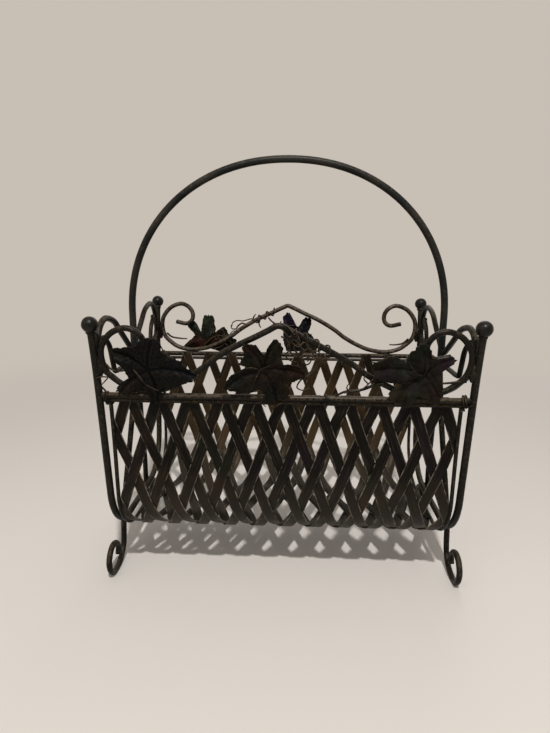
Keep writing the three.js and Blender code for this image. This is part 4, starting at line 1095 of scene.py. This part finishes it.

# %% [markdown]
# ## Strip paint
# The strips are sheet metal with the same dark coat, brushed along their length, so it streaks, and
# the rolled rims are rubbed. Painted light and shade lie over it: darker towards the rails, greyer
# where the trough turns under, golden on the sides that face into the trough, paler on top. The
# streaks must follow each strip, which noise in object space can't do, so the strip's own
# coordinates, stored when it was swept, stretch the pattern along it.

# %% strip paint: clouds of colour
# Brushed paint on sheet: dull and streaked along the strip, pale on the rolled rims, with painted highlight
# on top.
finishes["strip"], coat = painted_iron(
    "brushed_paint_on_sheet_strip", "070504", "130e0a", "2c251b", "22150e", rub=0.37, face=0.0, patch=36.0,
    shine=0.075)
tree = finishes["strip"].node_tree
shader = tree.nodes["Principled BSDF"]
place = node(tree, "ShaderNodeTexCoord").outputs["Object"]
cut = node(tree, "ShaderNodeUVMap", uv_map="cut").outputs[0]
layers = []  # how much of which colour lies over the coat
for shift, size, tint in ((0.0, 60.0, "13180d"), (3.0, 48.0, "181016"), (6.0, 70.0, "26190c")):
    moved = node(tree, "ShaderNodeVectorMath", {0: place, 1: (shift, shift / 3, shift / 2)}, operation="ADD")
    cloud = node(tree, "ShaderNodeTexNoise", {
        "Vector": moved.outputs[0], "Scale": per_metre(size), "Detail": 2.0})
    amount = node(tree, "ShaderNodeMapRange", {
        "Value": cloud.outputs["Fac"], "From Min": 0.52, "From Max": 0.66})
    layers.append((amount, tint))
# painted light: the sides that face into the trough are golden brown, as the lamp in front lights them
normal = node(tree, "ShaderNodeNewGeometry").outputs["Normal"]
facing = node(tree, "ShaderNodeVectorMath", {0: normal, 1: place}, operation="DOT_PRODUCT")
inner = node(tree, "ShaderNodeMapRange", {
    "Value": facing.outputs["Value"], "From Min": 0.0, "From Max": -0.05, "To Max": 0.65})
layers.append((inner, "5a4428"))
print("clouds of colour, with the one inside the trough:", len(layers))

# %% strip paint: dark lengths
# each strip has its own darker lengths, wider than the strip
DARK_W, DARK_LENGTH = 61.5, 76.9
spread = (STRIP_W / DARK_W, UV_LENGTH / DARK_LENGTH, 1.0)
lengths = node(tree, "ShaderNodeVectorMath", {0: cut, 1: spread}, operation="MULTIPLY")
lengths = node(tree, "ShaderNodeTexNoise", {"Vector": lengths.outputs[0], "Scale": 1.0, "Detail": 1.0})
amount = node(tree, "ShaderNodeMapRange", {
    "Value": lengths.outputs["Fac"], "From Min": 0.36, "From Max": 0.62, "To Min": 0.78, "To Max": 0.0})
layers.append((amount, "090705"))
# painted shade: the coat is darker towards the rails, where the rails and leaves shade the strips
height = node(tree, "ShaderNodeSeparateXYZ", {0: place}).outputs["Z"]
high = node(tree, "ShaderNodeMapRange", {
    "Value": height, "From Min": 100 * MM, "From Max": 220 * MM, "To Max": 0.65})
layers.append((high, "080604"))
# painted sheen: greyer where the trough turns under, as light thrown up from the floor would show
low = node(tree, "ShaderNodeMapRange", {
    "Value": height, "From Min": 150 * MM, "From Max": 70 * MM, "To Max": 0.4})
layers.append((low, "443e35"))
# the scuffed grey below 150 mm is a painted sheen
print("dark lengths of", DARK_LENGTH, "mm, darker above 100 mm, scuffed below 150 mm")

# %% strip paint: streaks and rims
# brush streaks, finer in reality, are drawn a tenth of the strip wide
STREAK_W, STREAK_LENGTH = 1.23, 30.3
spread = (STRIP_W / STREAK_W, UV_LENGTH / STREAK_LENGTH, 1.0)
stretched = node(tree, "ShaderNodeVectorMath", {0: cut, 1: spread}, operation="MULTIPLY")
streaks = node(tree, "ShaderNodeTexNoise", {"Vector": stretched.outputs[0], "Scale": 1.0, "Detail": 3.0})
amount = node(tree, "ShaderNodeMapRange", {
    "Value": streaks.outputs["Fac"], "From Min": 0.5, "From Max": 0.76, "To Max": 0.32})
layers.append((amount, "463d30"))
# the rubbed rim is the outer millimetre of each side, broken every 8 mm or so
off = node(tree, "ShaderNodeMath", {
    0: node(tree, "ShaderNodeSeparateXYZ", {0: cut}).outputs[0], 1: 0.5}, operation="SUBTRACT")
off = node(tree, "ShaderNodeMath", {0: off.outputs[0]}, operation="ABSOLUTE")
rim = node(tree, "ShaderNodeMapRange", {
    "Value": off.outputs[0], "From Min": 0.4, "From Max": 0.46, "To Max": 0.85})
rubs = node(tree, "ShaderNodeTexNoise", {"Vector": place, "Scale": per_metre(8.0), "Detail": 3.0})
rubs = node(tree, "ShaderNodeMapRange", {"Value": rubs.outputs["Fac"], "From Min": 0.4, "From Max": 0.66})
rim = node(tree, "ShaderNodeMath", {0: rim.outputs[0], 1: rubs.outputs[0]}, operation="MULTIPLY")
layers.append((rim, "777063"))
print("streaks of", STREAK_W, "by", STREAK_LENGTH, "mm")

# %% strip paint: one layer over another
for amount, over in layers:
    mixed = node(tree, "ShaderNodeMix", {
        "Factor": amount.outputs[0], 6: coat, 7: linear(over)}, data_type="RGBA")
    coat = mixed.outputs[2]
tree.links.new(coat, shader.inputs["Base Color"])
print("strip paint layers", len(layers), "nodes", len(tree.nodes))

# %% [markdown]
# ## Leaf patina
# The leaves are thin sheet, coloured by hand in deep green, blue, violet and brown lacquer and then
# rubbed beside the creases and on the rims. The colours could be painted on an image. Here each
# leaf's points store them, so they stay with the shape, and noise breaks them up as a brush would.

# %% leaf patina: colour
# Dark, slightly glossy lacquer: the colours only glow where light strikes a lobe.
finishes["leaf"] = bpy.data.materials.new("hand_coloured_lacquer_on_sheet")
finishes["leaf"].use_nodes = True
tree = finishes["leaf"].node_tree
shader = tree.nodes["Principled BSDF"]
place = node(tree, "ShaderNodeTexCoord").outputs["Object"]
stored = node(tree, "ShaderNodeAttribute", attribute_name="patina").outputs["Color"]
rubbed = node(tree, "ShaderNodeAttribute", attribute_name="rub").outputs["Fac"]
DAB, LACQUER_GRAIN = 12.0, 2.5  # brush dabs; the grain is finer in reality, drawn coarser to show
cloud = node(tree, "ShaderNodeTexNoise", {"Vector": place, "Scale": per_metre(DAB), "Detail": 4.0})
grain = node(tree, "ShaderNodeTexNoise", {"Vector": place, "Scale": per_metre(LACQUER_GRAIN), "Detail": 4.0})
dark = node(tree, "ShaderNodeMapRange", {
    "Value": cloud.outputs["Fac"], "From Min": 0.35, "From Max": 0.65, "To Min": 0.04, "To Max": 0.24})
patina = node(tree, "ShaderNodeMix", {
    "Factor": dark.outputs[0], 6: linear("020202"), 7: stored}, data_type="RGBA")
amount = node(tree, "ShaderNodeMapRange", {
    "Value": grain.outputs["Fac"], "From Min": 0.35, "From Max": 0.6, "To Max": 0.8})
amount = node(tree, "ShaderNodeMath", {
    0: amount.outputs[0], 1: rubbed}, operation="MULTIPLY", use_clamp=True)
colour = node(tree, "ShaderNodeMix", {
    "Factor": amount.outputs[0], 6: patina.outputs[2], 7: linear("352f26")}, data_type="RGBA")
tree.links.new(colour.outputs[2], shader.inputs["Base Color"])
print("leaf colours come from", len(LEAVES), "sets of places")

# %% leaf patina: surface
rough = node(tree, "ShaderNodeMapRange", {
    "Value": cloud.outputs["Fac"], "From Min": 0.3, "From Max": 0.7, "To Min": 0.26, "To Max": 0.48})
tree.links.new(rough.outputs[0], shader.inputs["Roughness"])
bump = node(tree, "ShaderNodeBump", {
    "Height": grain.outputs["Fac"], "Strength": 0.25, "Distance": 0.5 * MM})
tree.links.new(bump.outputs["Normal"], shader.inputs["Normal"])
# old lacquer has dulled, so it mirrors the room least of all
shader.inputs["Specular IOR Level"].default_value = 0.045
print("lacquer nodes", len(tree.nodes))

# %% [markdown]
# ## Paint on the pieces
# Every piece was noted with its finish when it was made. It could have been painted there and then,
# but the shapes read more easily without their paint.

# %% paint the pieces
dict.fromkeys(("rod", "rail", "front_crest", "back_crest", "handle"), "iron_rod")
for name, finish in pieces.items():
    bpy.data.objects[name].data.materials.append(finishes[finish])
print("painted", len(pieces), "pieces in", len(finishes), "finishes")

# %% [markdown]
# ## Floor
# A studio hangs a paper sweep behind an object, so that no line shows where floor meets wall. A bent
# sheet would hide it from the other side. Here the floor is a flat disc whose own material fades,
# with distance, into the colour of the room, so the ground looks the same from all sides.

# %% floor
RINGS, SPOKES = (400, 800, 1500, 2600), 64
verts = [Vector((0, 0, 0))]
for radius in RINGS:
    for k in range(SPOKES):
        a = 2 * math.pi * k / SPOKES
        verts.append(Vector((radius * math.cos(a), radius * math.sin(a), 0)))
faces = [(0, 1 + k, 1 + (k + 1) % SPOKES) for k in range(SPOKES)]
for ring in range(len(RINGS) - 1):
    a, b = 1 + ring * SPOKES, 1 + (ring + 1) * SPOKES
    faces += [(a + k, b + k, b + (k + 1) % SPOKES, a + (k + 1) % SPOKES) for k in range(SPOKES)]
floor = make("floor", verts, faces)
print("floor across", 2 * RINGS[-1], "mm")

# %% floor paint
WALL = "c8bfb5"
# Matt pale paint: it shows a shadow softly and has no shine of its own.
floor_paint = bpy.data.materials.new("pale_matt_floor_paint")
floor_paint.use_nodes = True
tree = floor_paint.node_tree
shader = tree.nodes["Principled BSDF"]
shader.inputs["Base Color"].default_value = linear("dcd5cd")
shader.inputs["Roughness"].default_value = 0.7
place = node(tree, "ShaderNodeTexCoord").outputs["Object"]
away = node(tree, "ShaderNodeVectorMath", {0: place}, operation="LENGTH")
fade = node(tree, "ShaderNodeMapRange", {"Value": away.outputs["Value"], "From Min": 0.4, "From Max": 1.6},
            interpolation_type="SMOOTHSTEP")
wall = node(tree, "ShaderNodeEmission", {"Color": linear(WALL), "Strength": 1.0})
both = node(tree, "ShaderNodeMixShader", {0: fade.outputs[0], 1: shader.outputs[0], 2: wall.outputs[0]})
tree.links.new(both.outputs[0], tree.nodes["Material Output"].inputs["Surface"])
floor.data.materials.append(floor_paint)
print("floor paint nodes", len(tree.nodes))

# %% [markdown]
# ## Light
# The real room has a lamp overhead and pale walls. A sun lamp would cut the shadows too hard, and
# the room's light alone would cast none. One small lamp above and in front throws the lattice's
# shadow on the floor, with a soft rim, and two wide weak ones open up the dark sides.

# %% room light
world = bpy.data.worlds.new("pale_room")
bpy.context.scene.world = world
world.use_nodes = True
tree = world.node_tree
lit = tree.nodes["Background"]
lit.inputs["Color"].default_value = linear("f4f0ea")
lit.inputs["Strength"].default_value = 0.34
seen = node(tree, "ShaderNodeBackground", {"Color": linear(WALL), "Strength": 1.0})
path = node(tree, "ShaderNodeLightPath")
either = node(tree, "ShaderNodeMath", {
    0: path.outputs["Is Camera Ray"], 1: path.outputs["Is Glossy Ray"]}, operation="MAXIMUM")
either = node(tree, "ShaderNodeMath", {
    0: either.outputs[0], 1: path.outputs["Is Transmission Ray"]}, operation="MAXIMUM")
both = node(tree, "ShaderNodeMixShader", {0: either.outputs[0], 1: lit.outputs[0], 2: seen.outputs[0]})
tree.links.new(both.outputs[0], tree.nodes["World Output"].inputs["Surface"])


def lamp(name, place, target, size, power):
    """A square lamp that faces the target."""
    data = bpy.data.lights.new(name, "AREA")
    data.size, data.energy = size, power
    obj = bpy.data.objects.new(name, data)
    bpy.context.scene.collection.objects.link(obj)
    obj.location = place
    obj.rotation_euler = (Vector(target) - Vector(place)).to_track_quat("-Z", "Y").to_euler()


lamp("ceiling_lamp", (0.1, -1.2, 1.8), (0, 0, 0.1), 0.07, 31.0)
lamp("room_fill", (-1.3, -1.5, 1.3), (0, 0, 0.25), 1.2, 5.5)
lamp("back_fill", (0.4, 1.5, 1.4), (0, 0, 0.25), 1.2, 6.5)
print("lamps", [light.name for light in bpy.data.lights])

# %% [markdown]
# ## Camera
# The camera stands where the photograph was taken: a little above the rails, looking slightly down.
# A constraint could aim it at the basket. Three angles say more: it is turned a little to the left,
# tilted down, and rolled by a third of a degree, as a camera held by hand is.

# %% camera
camera_data = bpy.data.cameras.new("camera")
camera_data.lens = 24.84
camera_data.sensor_width = 36.0
camera_data.sensor_fit = "AUTO"
camera_data.clip_start = 0.01
camera = bpy.data.objects.new("camera", camera_data)
bpy.context.scene.collection.objects.link(camera)
yaw, pitch, roll = (math.radians(a) for a in (2.20, 12.54, 0.365))
look = Vector((-math.sin(yaw) * math.cos(pitch), math.cos(yaw) * math.cos(pitch), -math.sin(pitch)))
right = Vector((math.cos(yaw), math.sin(yaw), 0))
up = right.cross(look)
right, up = math.cos(roll) * right + math.sin(roll) * up, math.cos(roll) * up - math.sin(roll) * right
turn = Matrix((right, up, -look)).transposed().to_4x4()
camera.matrix_world = Matrix.Translation((0.0105, -0.6407, 0.388)) @ turn
bpy.context.scene.camera = camera
bpy.context.scene.view_settings.view_transform = "Standard"
print("camera at", [round(v, 3) for v in camera.matrix_world.translation])
